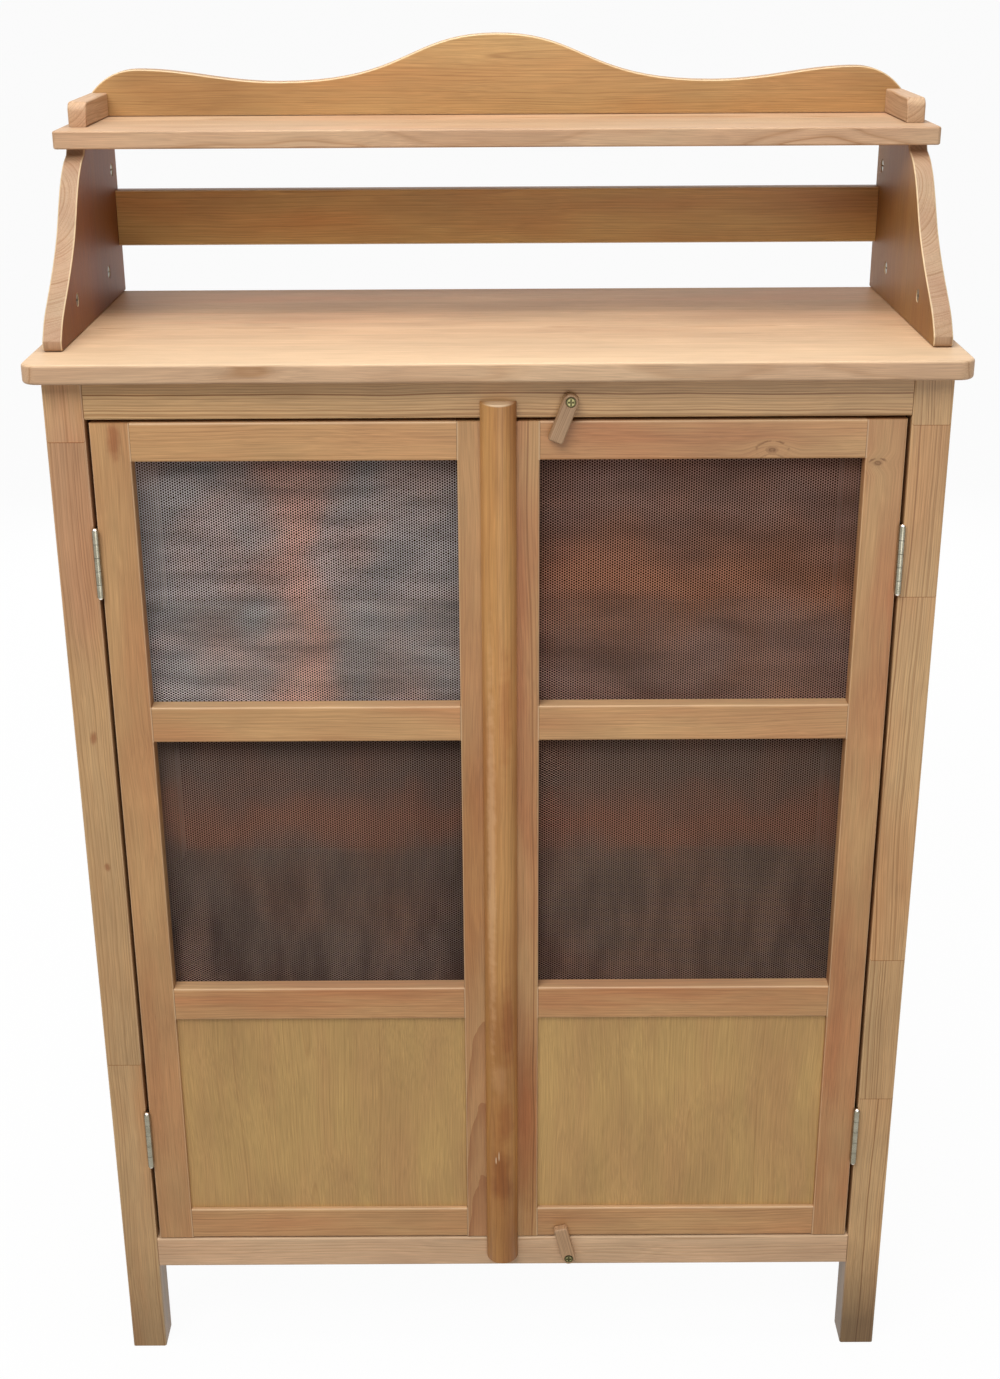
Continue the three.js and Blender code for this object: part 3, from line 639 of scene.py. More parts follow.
def year_rings() -> Tree:
    """Give the node group of sawn softwood, made once. Its coordinates are millimetres.

    Rings lie round the Z axis, which is the tree's pith, and waver as they run along it. A face
    that cuts them square shows straight lines, and one that skims them shows long arches.

    Returns:
        The group, with the wood's colour and its relief.
    """
    name = "year_rings"
    if name in bpy.data.node_groups:
        return bpy.data.node_groups[name]
    tree = bpy.data.node_groups.new(name, "ShaderNodeTree")
    kinds = {
        "Vector": ("Place",),
        "Float": ("Stave", "Ring Width", "Wander", "Line Depth", "Blush Share", "Stave Contrast", "Tone"),
        "Color": ("Early", "Late", "Blush"),
    }
    for kind, sockets in kinds.items():
        for socket in sockets:
            tree.interface.new_socket(socket, in_out="INPUT", socket_type=f"NodeSocket{kind}")
    for socket, kind in (("Color", "Color"), ("Height", "Float")):
        tree.interface.new_socket(socket, in_out="OUTPUT", socket_type=f"NodeSocket{kind}")
    given = add_node(tree, "NodeGroupInput").node.outputs

    # Each stave comes from another part of a tree
    lot = add_node(tree, "TexWhiteNoise", {"W": given["Stave"]}, "Value", noise_dimensions="1D")
    spread = (lot.node.outputs["Color"], (46.0, 24.0, 900.0), (-20.0, -12.0, 0.0))
    jump = add_node(tree, "VectorMath", spread, operation="MULTIPLY_ADD")
    place = add_node(tree, "VectorMath", (given["Place"], jump), operation="ADD")

    # The rings waver over decimetres, and ripple over centimetres
    waver = place
    for grain, amount in (((0.005, 0.005, 0.0028), given["Wander"]), ((0.035, 0.035, 0.011), 3.2)):
        noise = streaks(tree, place, grain, 1.0).node.outputs["Color"]
        centred = add_node(tree, "VectorMath", (noise, (0.5, 0.5, 0.5)), operation="SUBTRACT")
        moved = add_node(tree, "VectorMath", {0: centred, 3: amount}, operation="SCALE")
        waver = add_node(tree, "VectorMath", (waver, moved), operation="ADD")
    across = add_node(tree, "VectorMath", (waver, (1.0, 1.0, 0.0)), operation="MULTIPLY")
    radius = add_node(tree, "VectorMath", (across,), "Value", operation="LENGTH")
    years = add_node(tree, "Math", (radius, given["Ring Width"]), operation="DIVIDE")
    weather = {"W": years, "Scale": 0.4, "Detail": 2.0}
    uneven = add_node(tree, "TexNoise", weather, noise_dimensions="1D")
    count = add_node(tree, "Math", (uneven, 2.6, years), operation="MULTIPLY_ADD")
    share = add_node(tree, "Math", (count,), operation="FRACT")
    year = add_node(tree, "Math", (count,), operation="FLOOR")

    # Late wood darkens slowly through a year and ends at once
    dark = add_node(tree, "ValToRGB", (share,))
    ramp = dark.node.color_ramp
    ramp.interpolation = "EASE"
    stops = ((0.0, 0.35), (0.1, 0.0), (0.5, 0.05), (0.76, 0.4), (0.9, 1.0), (1.0, 0.35))
    while len(ramp.elements) < len(stops):
        ramp.elements.new(0.5)
    for element, (position, value) in zip(ramp.elements, stops):
        element.position = position
        element.color = (value, value, value, 1.0)
    season = add_node(tree, "TexWhiteNoise", {"W": year}, "Value", noise_dimensions="1D")
    strength = add_node(tree, "MapRange", {0: season, 3: 0.3, 4: 1.1})
    line = add_node(tree, "Math", (dark, strength), operation="MULTIPLY")
    late = add_node(tree, "Math", (line, given["Line Depth"]), operation="MULTIPLY")

    # Heartwood's warm cast, in patches that follow the grain
    patch = streaks(tree, waver, (0.022, 0.022, 0.0042), 3.0)
    lot_blush = add_node(tree, "MapRange", {0: lot, 3: 0.25, 4: 1.5})
    most_blush = add_node(tree, "Math", (lot_blush, given["Blush Share"]), operation="MULTIPLY")
    cast = add_node(tree, "MapRange", (patch, 0.38, 0.66, 0.0, most_blush))
    ground = add_node(tree, "Mix", {0: cast, 6: given["Early"], 7: given["Blush"]}, 2, data_type="RGBA")
    grained = add_node(tree, "Mix", {0: late, 6: ground, 7: given["Late"]}, 2, data_type="RGBA")

    # Fibres are under 0.1 mm wide: drawn 0.8 mm wide, so that they show
    fibre = streaks(tree, waver, (1.25, 1.25, 0.02), 3.0)
    streak = add_node(tree, "MapRange", (fibre, 0.3, 0.7, 0.84, 1.12))
    sheen = streaks(tree, place, (0.016, 0.016, 0.006), 3.0, 0.6)
    cloud = add_node(tree, "MapRange", (sheen, 0.3, 0.7, 0.88, 1.1))
    streak = add_node(tree, "Math", (streak, cloud), operation="MULTIPLY")
    lot_tone = add_node(tree, "Math", (lot, 0.5), operation="SUBTRACT")
    tones = (lot_tone, given["Stave Contrast"], given["Tone"])
    stave_tone = add_node(tree, "Math", tones, operation="MULTIPLY_ADD")
    value = add_node(tree, "Math", (streak, stave_tone), operation="MULTIPLY")
    coloured = add_node(tree, "HueSaturation", {"Value": value, "Color": grained})
    height = add_node(tree, "Math", (line, 0.4, fibre), operation="MULTIPLY_ADD")
    add_node(tree, "NodeGroupOutput", {"Color": coloured, "Height": height})
    return tree


# Metal


@dataclass(frozen=True)
class Metal:
    """A bare or plated metal. Its tarnish is a second colour in soft patches.

    A screw's head gets a painted highlight inside a radius, and painted shade, as from its
    countersink, outside it and in its recess. The head is given by the middle of its face and by
    that radius, in mm. Past a reach up and down from a height, in mm, it is smoother and has a
    pale painted highlight, as on the tips of a hinge's pin. The rim shade share is where the
    painted shade at the rim is darkest, as a share of the radius, and the recess shade gives the
    depths in mm where it starts to darken and ends.
    """

    name: str
    clean: str
    tarnish: str
    roughness: float
    patch_mm: float
    tarnish_share: float = 0.5
    scuffs_per_mm: float = 1.8
    relief_mm: float = 0.05
    head: tuple[Point, float] | None = None
    oiled_share: float = 1.3
    recess_mm: Pair = (0.3, 0.5)
    polished: Pair | None = None
    polish_fade: float = 0.4
    polish_roughness: float = 0.2

    def _oiled(self, tree: Tree, source: Socket, colour: Socket) -> Socket:
        """Paint a highlight on a screw's head, and shade at its rim and in its recess.

        Args:
            tree: The material's node tree.
            source: The object coordinates in metres.
            colour: The metal's colour.

        Returns:
            The colour with the painted highlight and shade.
        """
        place, radius = self.head
        middle = tuple(length * MM for length in place)
        away = add_node(tree, "VectorMath", (source, middle), operation="SUBTRACT")
        flat = add_node(tree, "VectorMath", (away, (1, 0, 1)), operation="MULTIPLY")
        distance = add_node(tree, "VectorMath", (flat,), "Value", operation="LENGTH")
        rim = add_node(
            tree, "MapRange", (distance, radius * MM, radius * self.oiled_share * MM, 1.7, 0.35)
        )
        depth = add_node(tree, "SeparateXYZ", (away,), 1)
        start, stop = (length * MM for length in self.recess_mm)
        recess = add_node(tree, "MapRange", (depth, start, stop, 1.0, 0.25))
        value = add_node(tree, "Math", (rim, recess), operation="MULTIPLY")
        return add_node(tree, "HueSaturation", {"Value": value, "Color": colour})

    def material(self, suffix: str) -> bpy.types.Material:
        """Mix the metal.

        Args:
            suffix: What the material's name ends in.

        Returns:
            The metal's material.
        """
        material, tree = new_material(self.name + suffix)
        source = add_node(tree, "TexCoord", out="Object")
        clouds = {"Vector": source, "Scale": 1 / (self.patch_mm * MM), "Detail": 3.0}
        patch = add_node(tree, "TexNoise", clouds)
        share = add_node(tree, "MapRange", (patch, 0.35, 0.65, 0.0, self.tarnish_share))
        mix = {0: share, 6: linear(self.clean), 7: linear(self.tarnish)}
        colour = add_node(tree, "Mix", mix, 2, data_type="RGBA")
        if self.head:
            colour = self._oiled(tree, source, colour)
        scuffs = {"Vector": source, "Scale": self.scuffs_per_mm / MM, "Detail": 2.0}
        scuff = add_node(tree, "TexNoise", scuffs)
        rough = add_node(tree, "MapRange", {0: scuff, 3: self.roughness - 0.08, 4: self.roughness + 0.1})
        if self.polished:
            middle, tips = self.polished
            off = off_middle(tree, add_node(tree, "SeparateXYZ", (source,), 2), middle * MM)
            past = (tips + self.polish_fade) * MM
            tip = add_node(tree, "MapRange", (off, tips * MM, past, 0.0, 1.0))
            mix = {0: tip, 6: colour, 7: linear(TIP_HIGHLIGHT)}
            colour = add_node(tree, "Mix", mix, 2, data_type="RGBA")
            rough = add_node(tree, "MapRange", {0: tip, 3: rough, 4: self.polish_roughness})
        relief = {"Height": scuff, "Strength": 0.3, "Distance": self.relief_mm * MM}
        bump = add_node(tree, "Bump", relief)
        surface = {"Base Color": colour, "Metallic": 1.0, "Roughness": rough, "Normal": bump}
        shader = add_node(tree, "BsdfPrincipled", surface)
        add_node(tree, "OutputMaterial", (shader,))
        return material


# Rubbed steel
# Pale steel, painted on the tips of a hinge's pin as a highlight
TIP_HIGHLIGHT = "#f7f5ef"

# Zinc-plated steel, tumbled and handled: a soft grey shine with duller clouds
ZINC = Metal("zinc_plated_steel", "#9d9887", "#77725f", 0.26, 9)

# Yellow-passivated steel: a brassy shine that oil has dulled to olive
PASSIVATED = Metal("yellow_passivated_steel", "#7a7350", "#4f4b30", 0.42, 4)


@dataclass(frozen=True)
class Wire:
    """Pressed steel netting that has turned brown in places. Places are the row frame's, in mm.

    A band is where copper-brown shows most: its axis, 0 or 2, its middle and its half width. Dark
    streaks, sooty in part and painted shade in part, whose reciprocal lengths are given, grow
    darker below a height.
    """

    name: str
    steel: str
    brown: str
    soot: str
    band_axis: int
    band: Pair
    streak: Point
    soot_share: float
    soot_below: Pair
    roughness: float = 0.42
    patches_per_mm: float = 0.013
    wander: float = 110.0

    def material(self, suffix: str) -> bpy.types.Material:
        """Mix the netting's metal.

        Args:
            suffix: What the material's name ends in.

        Returns:
            The metal's material.
        """
        material, tree = new_material(self.name + suffix)
        source = add_node(tree, "TexCoord", out="Object")
        row = add_node(tree, "VectorMath", {0: source, 3: 1 / MM}, operation="SCALE")
        axes = add_node(tree, "SeparateXYZ", (row,)).node.outputs
        smear = streaks(tree, row, self.streak, 4.0)
        patch = add_node(tree, "TexNoise", {"Vector": row, "Scale": self.patches_per_mm, "Detail": 3.0})
        edge = add_node(tree, "Math", (patch, self.wander, axes[self.band_axis]), operation="MULTIPLY_ADD")
        far = off_middle(tree, edge, self.band[0] + self.wander / 2)
        span = (far, self.band[1], 0.0, 0.0, 0.85)
        near = add_node(tree, "MapRange", span, interpolation_type="SMOOTHSTEP")
        spots = add_node(tree, "MapRange", (patch, 0.42, 0.75, 0.0, 0.5))
        share = add_node(tree, "Math", (near, spots), operation="MAXIMUM")
        mix = {0: share, 6: linear(self.steel), 7: linear(self.brown)}
        metal = add_node(tree, "Mix", mix, 2, data_type="RGBA")
        low, high = self.soot_below
        grown = add_node(tree, "MapRange", (axes[2], high, low, 0.25, 1.0))
        smeared = add_node(tree, "MapRange", (smear, 0.35, 0.7, 0.0, self.soot_share))
        dirt_and_shade = add_node(tree, "Math", (grown, smeared), operation="MULTIPLY")
        colour = add_node(tree, "Mix", {0: dirt_and_shade, 6: metal, 7: linear(self.soot)}, 2, data_type="RGBA")
        rough = add_node(tree, "MapRange", {0: dirt_and_shade, 3: self.roughness, 4: self.roughness + 0.25})
        surface = {"Base Color": colour, "Metallic": 1.0, "Roughness": rough}
        shader = add_node(tree, "BsdfPrincipled", surface)
        add_node(tree, "OutputMaterial", (shader,))
        return material


# Galvanised steel, pressed flat and hardly aged, for the upper left net: silver brightened as a painted
# reflection, with a blush of copper down its middle
NET_BRIGHT = Wire(
    "bright_steel_wire", "#afa7a5", "#d0a596", "#4c4a49", 0, (-199.0, 60.0), (0.014, 1.0, 0.06), 0.5,
    (2000, 2001),
)

# The same steel gone brown, for the upper right net: brightened as a painted reflection, with dim copper in a
# level band
NET_WARM = Wire(
    "browned_steel_wire", "#a08176", "#ae7b60", "#43362f", 2, (935.0, 95.0), (0.012, 1.0, 0.03), 0.5,
    (2000, 2001),
)

# The same steel for the lower right net, darkened as painted shade, with dark streaks, sooty and painted
# shade in part, which run down it and hide the copper below
NET_DULL = Wire(
    "sooted_steel_wire", "#7e695d", "#956b58", "#2f2728", 2, (668.0, 50.0), (0.05, 1.0, 0.014), 0.45,
    (540, 680),
)

# The same for the lower left net, with deeper painted shade: darker all over
NET_DARK = replace(NET_DULL, name="darker_steel_wire", steel="#6e5d54", brown="#85604f", soot="#292224")


# Meshes, in millimetres


def box_mesh(low: Point, high: Point) -> Mesh:
    """Start a mesh with a box.

    Args:
        low: The box's lowest corner.
        high: Its highest corner.

    Returns:
        The box's mesh.
    """
    bm = bmesh.new()
    bmesh.ops.create_cube(bm, size=1.0)
    bmesh.ops.scale(bm, vec=[b - a for a, b in zip(low, high)], verts=bm.verts)
    bmesh.ops.translate(bm, vec=[(a + b) / 2 for a, b in zip(low, high)], verts=bm.verts)
    return bm


def placed(bm: Mesh, at: Point, degrees: float = 0.0, axis: str = "X") -> Mesh:
    """Turn a mesh round an axis through the origin, then shift it.

    Args:
        bm: The mesh.
        at: How far it is shifted.
        degrees: How far it is turned first.
        axis: The axis of the turn.

    Returns:
        The same mesh.
    """
    bmesh.ops.rotate(bm, matrix=Matrix.Rotation(math.radians(degrees), 3, axis), verts=bm.verts)
    bmesh.ops.translate(bm, vec=at, verts=bm.verts)
    return bm


def edges_along(bm: Mesh, axis: int, towards: Point = (0, 0, 0)) -> list[Edge]:
    """Find the edges that run along an axis.

    Args:
        bm: The mesh.
        axis: 0, 1 or 2 for X, Y or Z.
        towards: For each axis, the sign of the side of the middle that they lie on, or 0 for any.

    Returns:
        The edges.
    """
    middle = [(min(places) + max(places)) / 2 for places in zip(*(vert.co for vert in bm.verts))]
    found = []
    for edge in bm.edges:
        start, stop = (vert.co for vert in edge.verts)
        run = stop - start
        aside = [sign * (place - centre) for sign, place, centre in zip(towards, start, middle)]
        if abs(abs(run[axis]) - run.length) < NEAR and min(aside) >= 0:
            found.append(edge)
    return found


def rounded(bm: Mesh, edges: list[Edge], radius: float, segments: int) -> Mesh:
    """Round some edges of a mesh.

    Args:
        bm: The mesh.
        edges: The edges.
        radius: Their radius.
        segments: How many flats make the round.

    Returns:
        The same mesh.
    """
    bmesh.ops.bevel(
        bm, geom=edges, offset=radius, offset_type="OFFSET", segments=segments, profile=0.5,
        affect="EDGES", material=-1, clamp_overlap=True,
    )
    return bm


def eased(bm: Mesh, axis: int, radius: float, segments: int) -> Mesh:
    """Round the edges of the two end faces across an axis.

    Args:
        bm: The mesh.
        axis: 0, 1 or 2 for X, Y or Z.
        radius: The edges' radius.
        segments: How many flats make the round.

    Returns:
        The same mesh.
    """
    bm.normal_update()
    ends = [face for face in bm.faces if abs(abs(face.normal[axis]) - 1) < NEAR]
    rims = [edge for edge in bm.edges if sum(face in ends for face in edge.link_faces) == 1]
    return rounded(bm, rims, radius, segments)


def board_mesh(outline: list[Pair], axis: int, span: Pair, ease: float) -> Mesh:
    """Saw a board to an outline and ease the edges of its two faces.

    Args:
        outline: The outline's corners, on the two other axes in their order.
        axis: The axis that the board's thickness lies on.
        span: The thickness's two ends.
        ease: The radius of the eased edges.

    Returns:
        The board's mesh.
    """
    bm = bmesh.new()
    corners = []
    for first, second in outline:
        place = [first, second]
        place.insert(axis, span[0])
        corners.append(bm.verts.new(place))
    face = bm.faces.new(corners)
    grown = bmesh.ops.extrude_face_region(bm, geom=[face])["geom"]
    shift = Vector((0, 0, 0))
    shift[axis] = span[1] - span[0]
    moved = [item for item in grown if isinstance(item, bmesh.types.BMVert)]
    bmesh.ops.translate(bm, vec=shift, verts=moved)
    bmesh.ops.recalc_face_normals(bm, faces=bm.faces)
    return eased(bm, axis, ease, segments=3)


def rod_mesh(radius: float, length: float, segments: int, ease: float = 0.0) -> Mesh:
    """Turn a rod that stands on the origin along Z.

    Args:
        radius: The rod's radius.
        length: Its length.
        segments: How many sides it has.
        ease: The radius of its rims.

    Returns:
        The rod's mesh.
    """
    bm = bmesh.new()
    bmesh.ops.create_cone(
        bm, cap_ends=True, segments=segments, radius1=radius, radius2=radius, depth=length
    )
    bmesh.ops.translate(bm, vec=(0, 0, length / 2), verts=bm.verts)
    return eased(bm, 2, ease, segments=2) if ease else bm


def joined(parts: list[Mesh]) -> Mesh:
    """Put several meshes into one.

    Args:
        parts: The meshes. They are freed.

    Returns:
        The whole.
    """
    whole = bmesh.new()
    for part in parts:
        mesh = bpy.data.meshes.new("part")
        part.to_mesh(mesh)
        part.free()
        whole.from_mesh(mesh)
        bpy.data.meshes.remove(mesh)
    return whole


def shown(bm: Mesh, name: str) -> bpy.types.Object:
    """Put a mesh into the scene as an object.

    Args:
        bm: The mesh. It is freed.
        name: The object's name.

    Returns:
        The object.
    """
    mesh = bpy.data.meshes.new(name)
    bm.to_mesh(mesh)
    bm.free()
    made = bpy.data.objects.new(name, mesh)
    bpy.context.scene.collection.objects.link(made)
    return made


def taken_back(objects: list[bpy.types.Object]) -> Mesh:
    """Read the first of some objects as its modifiers leave it, and remove them all.

    Args:
        objects: The objects.

    Returns:
        The mesh that the modifiers made.
    """
    bm = bmesh.new()
    bm.from_object(objects[0], bpy.context.evaluated_depsgraph_get())
    for made in objects:
        mesh = made.data
        bpy.data.objects.remove(made)
        bpy.data.meshes.remove(mesh)
    return bm


def carved(body: Mesh, cutter: Mesh) -> Mesh:
    """Cut one mesh out of another.

    Args:
        body: The mesh that is cut. It is freed.
        cutter: The mesh that is taken away. It is freed.

    Returns:
        What is left of the body.
    """
    objects = [shown(body, "body"), shown(cutter, "cutter")]
    modifier = objects[0].modifiers.new("carve", "BOOLEAN")
    modifier.operation = "DIFFERENCE"
    modifier.solver = "EXACT"
    modifier.object = objects[1]
    return taken_back(objects)


def finish(
    bm: Mesh, name: str, body: str, slot: str, material: bpy.types.Material, *nodes: str, soft: bool = True
) -> None:
    """Turn a mesh in millimetres into a piece that rides on its body.

    Args:
        bm: The piece's mesh. It is freed.
        name: The piece's name.
        body: The body it moves with.
        slot: The record's material slot. It is not used.
        material: The piece's finish.
        nodes: The CAD nodes that it stands for.
        soft: Whether gentle angles are shaded smooth.
    """
    bmesh.ops.scale(bm, vec=(MM, MM, MM), verts=bm.verts)
    piece = shown(bm, name)
    piece.data.materials.append(material)
    if soft:
        piece.data.shade_smooth()
        piece.data.set_sharp_from_angle(angle=SOFT_ANGLE)
        piece.modifiers.new("even_shading", "WEIGHTED_NORMAL").keep_sharp = True
    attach(piece, body)
    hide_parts(*nodes)
    log.info("%s rides on %s, %d faces", name, body, len(piece.data.polygons))


def curve_points(stops: list[tuple[Pair, Pair, Pair]], steps: int) -> list[Pair]:
    """Follow a curve through stops, each with the handle before it and the handle after it.

    Args:
        stops: Each stop's place, its handle before and its handle after.
        steps: How many points each stretch takes.

    Returns:
        The points, without doubles.
    """
    points = []
    for (here, _, leaving), (there, arriving, _) in zip(stops, stops[1:]):
        points += interpolate_bezier(*map(Vector, (here, leaving, arriving, there)), steps)[:-1]
    return [(point[0], point[1]) for point in (*points, stops[-1][0])]


@dataclass(frozen=True)
class ScrewHead:
    """A countersunk head with a cross recess, drawn about its centre and facing along -Y."""

    radius: float = 4.8
    crown: float = 0.5
    skirt: float = 0.9
    segments: int = 32
    arm_share: float = 0.66
    arm_width_share: float = 0.2
    ease_share: float = 0.8
    overrun: float = 2.3

    def mesh(self, centre: Point, facing: float = 0.0) -> Mesh:
        """Make the head.

        Args:
            centre: The middle of the head's rim.
            facing: How many degrees round Z the head is turned away from -Y.

        Returns:
            The head's mesh.
        """
        ease = self.crown * self.ease_share
        head = rod_mesh(self.radius, self.crown + self.skirt, self.segments, ease)
        long, wide = self.radius * self.arm_share, self.radius * self.arm_width_share
        for turn in (0, 90):
            arm = box_mesh((-long, -wide, self.crown), (long, wide, self.crown + self.overrun))
            head = carved(head, placed(arm, (0, 0, 0), turn, "Z"))
        bmesh.ops.translate(head, vec=(0, 0, -self.skirt), verts=head.verts)
        return placed(placed(head, (0, 0, 0), 90), centre, facing, "Z")


# Camera, light and floor


@dataclass
class PhotographCamera:
    """The camera that took the photograph, as fitted to the cupboard's edges."""

    place_mm: Point = (0.4, -1924.5, 1527.9)
    pitch: float = -21.97
    roll: float = -0.3
    focal_px: float = 1884.0
    long_side_px: float = 1379.0
    sensor_mm: float = 36.0

    def build(self) -> None:
        """Make the camera and look through it."""
        data = bpy.data.cameras.new("photograph_camera")
        data.sensor_width = self.sensor_mm
        data.lens = self.focal_px * self.sensor_mm / self.long_side_px
        camera = bpy.data.objects.new("photograph_camera", data)
        bpy.context.scene.collection.objects.link(camera)
        pitch = Matrix.Rotation(math.radians(90 + self.pitch), 4, "X")
        roll = Matrix.Rotation(math.radians(self.roll), 4, "Z")
        camera.matrix_world = Matrix.Translation(Vector(self.place_mm) * MM) @ (pitch @ roll)
        bpy.context.scene.camera = camera


@dataclass(frozen=True)
class Softbox:
    """A large lamp: where it hangs and what it looks at, in metres, its two sides and its power."""

    name: str
    place: Point
    target: Point
    width: float
    height: float
    watts: float
    shines: bool = True

    def build(self) -> None:
        """Hang the lamp."""
        data = bpy.data.lights.new(self.name, "AREA")
        data.shape = "RECTANGLE"
        data.size, data.size_y, data.energy = self.width, self.height, self.watts
        lamp = bpy.data.objects.new(self.name, data)
        lamp.location = self.place
        aim = Vector(self.target) - Vector(self.place)
        lamp.rotation_euler = aim.to_track_quat("-Z", "Y").to_euler()
        lamp.visible_camera = False
        lamp.visible_glossy = self.shines
        bpy.context.scene.collection.objects.link(lamp)


@dataclass
class Studio:
    """A white floor and sky with soft light from above and in front."""

    sky_strength: float = 0.08
    floor_size: float = 120.0
    floor_glow: float = 0.96
    floor_bounce: float = 0.3
    floor_seen: float = 0.9
    lamps: tuple[Softbox, ...] = (
        Softbox("key_softbox", (-1.0, -2.1, 3.1), (0, 0, 0.8), 2.2, 1.6, 74),
        Softbox("top_softbox", (0.0, -0.15, 3.2), (0, -0.15, 1.1), 1.4, 1.2, 42),
        Softbox("fill_softbox", (0.8, -3.2, 0.6), (0, 0, 0.5), 2.0, 1.2, 28),
        Softbox("left_softbox", (-3.2, 0.5, 0.52), (0, 0.2, 0.5), 2.4, 0.26, 36, False),
        Softbox("right_softbox", (3.2, 0.5, 0.52), (0, 0.2, 0.5), 2.4, 0.26, 32, False),
        Softbox("back_softbox", (0.0, 3.4, 0.8), (0, 0, 0.75), 1.6, 0.6, 60, False),
    )

    def _seen(self, tree: Tree) -> Socket:
        """Tell the rays that see the background, straight or in a reflection, from the rest.

        Args:
            tree: The node tree.

        Returns:
            One for those rays, and zero for the rest.
        """
        path = add_node(tree, "LightPath").node.outputs
        seen = path["Is Camera Ray"]
        for ray in ("Is Glossy Ray", "Is Transmission Ray"):
            seen = add_node(tree, "Math", (seen, path[ray]), operation="MAXIMUM")
        return seen

    def _sky(self) -> None:
        """Make the sky white to the eye and faint as a light."""
        world = bpy.data.worlds.new("studio_sky")
        bpy.context.scene.world = world
        world.use_nodes = True
        tree = world.node_tree
        tree.nodes.clear()
        faint, white = (
            add_node(tree, "Background", (WHITE, strength)) for strength in (self.sky_strength, 1.0)
        )
        add_node(tree, "OutputWorld", (add_node(tree, "MixShader", (self._seen(tree), faint, white)),))

    def _floor(self) -> None:
        """Lay a floor that is white to the eye and keeps the shadow."""
        material, tree = new_material("white_floor")
        seen = self._seen(tree)
        grey = add_node(tree, "MapRange", {0: seen, 3: self.floor_bounce, 4: self.floor_seen})
        matt = add_node(tree, "BsdfDiffuse", (grey,))
        glow = add_node(tree, "Emission", (WHITE, 1.0))
        share = add_node(tree, "Math", (seen, self.floor_glow), operation="MULTIPLY")
        add_node(tree, "OutputMaterial", (add_node(tree, "MixShader", (share, matt, glow)),))
        bm = bmesh.new()
        bmesh.ops.create_grid(bm, x_segments=1, y_segments=1, size=self.floor_size / 2)
        floor = shown(bm, "studio_floor")
        floor.data.materials.append(material)

    def build(self) -> None:
        """Lay the floor and light the stage."""
        self._sky()
        self._floor()
        for lamp in self.lamps:
            lamp.build()
        bpy.context.scene.view_settings.view_transform = "Standard"


# The cupboard


def dress_nodes(boards: list[Board]) -> None:
    """Give CAD nodes whose shape is right their wood.

    Args:
        boards: The boards, each with its node's name.
    """
    for board in boards:
        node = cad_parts[board.node]
        node.data.materials.clear()
        node.data.materials.append(board.material())
        log.info("%s is dressed in %s", board.node, board.timber.name)


class Side(Enum):
    """Left or right of the middle, with the sign of X there."""

    LEFT = -1
    RIGHT = 1

    @property
    def label(self) -> str:
        """Say the side as the nodes' names do."""
        return self.name.lower()

    def span(self, near: float, far: float) -> Pair:
        """Turn two distances from the middle into a span on this side."""
        return (near, far) if self is Side.RIGHT else (-far, -near)


class Level(Enum):
    """The upper or the lower one of a pair."""

    UPPER = "upper"
    LOWER = "lower"


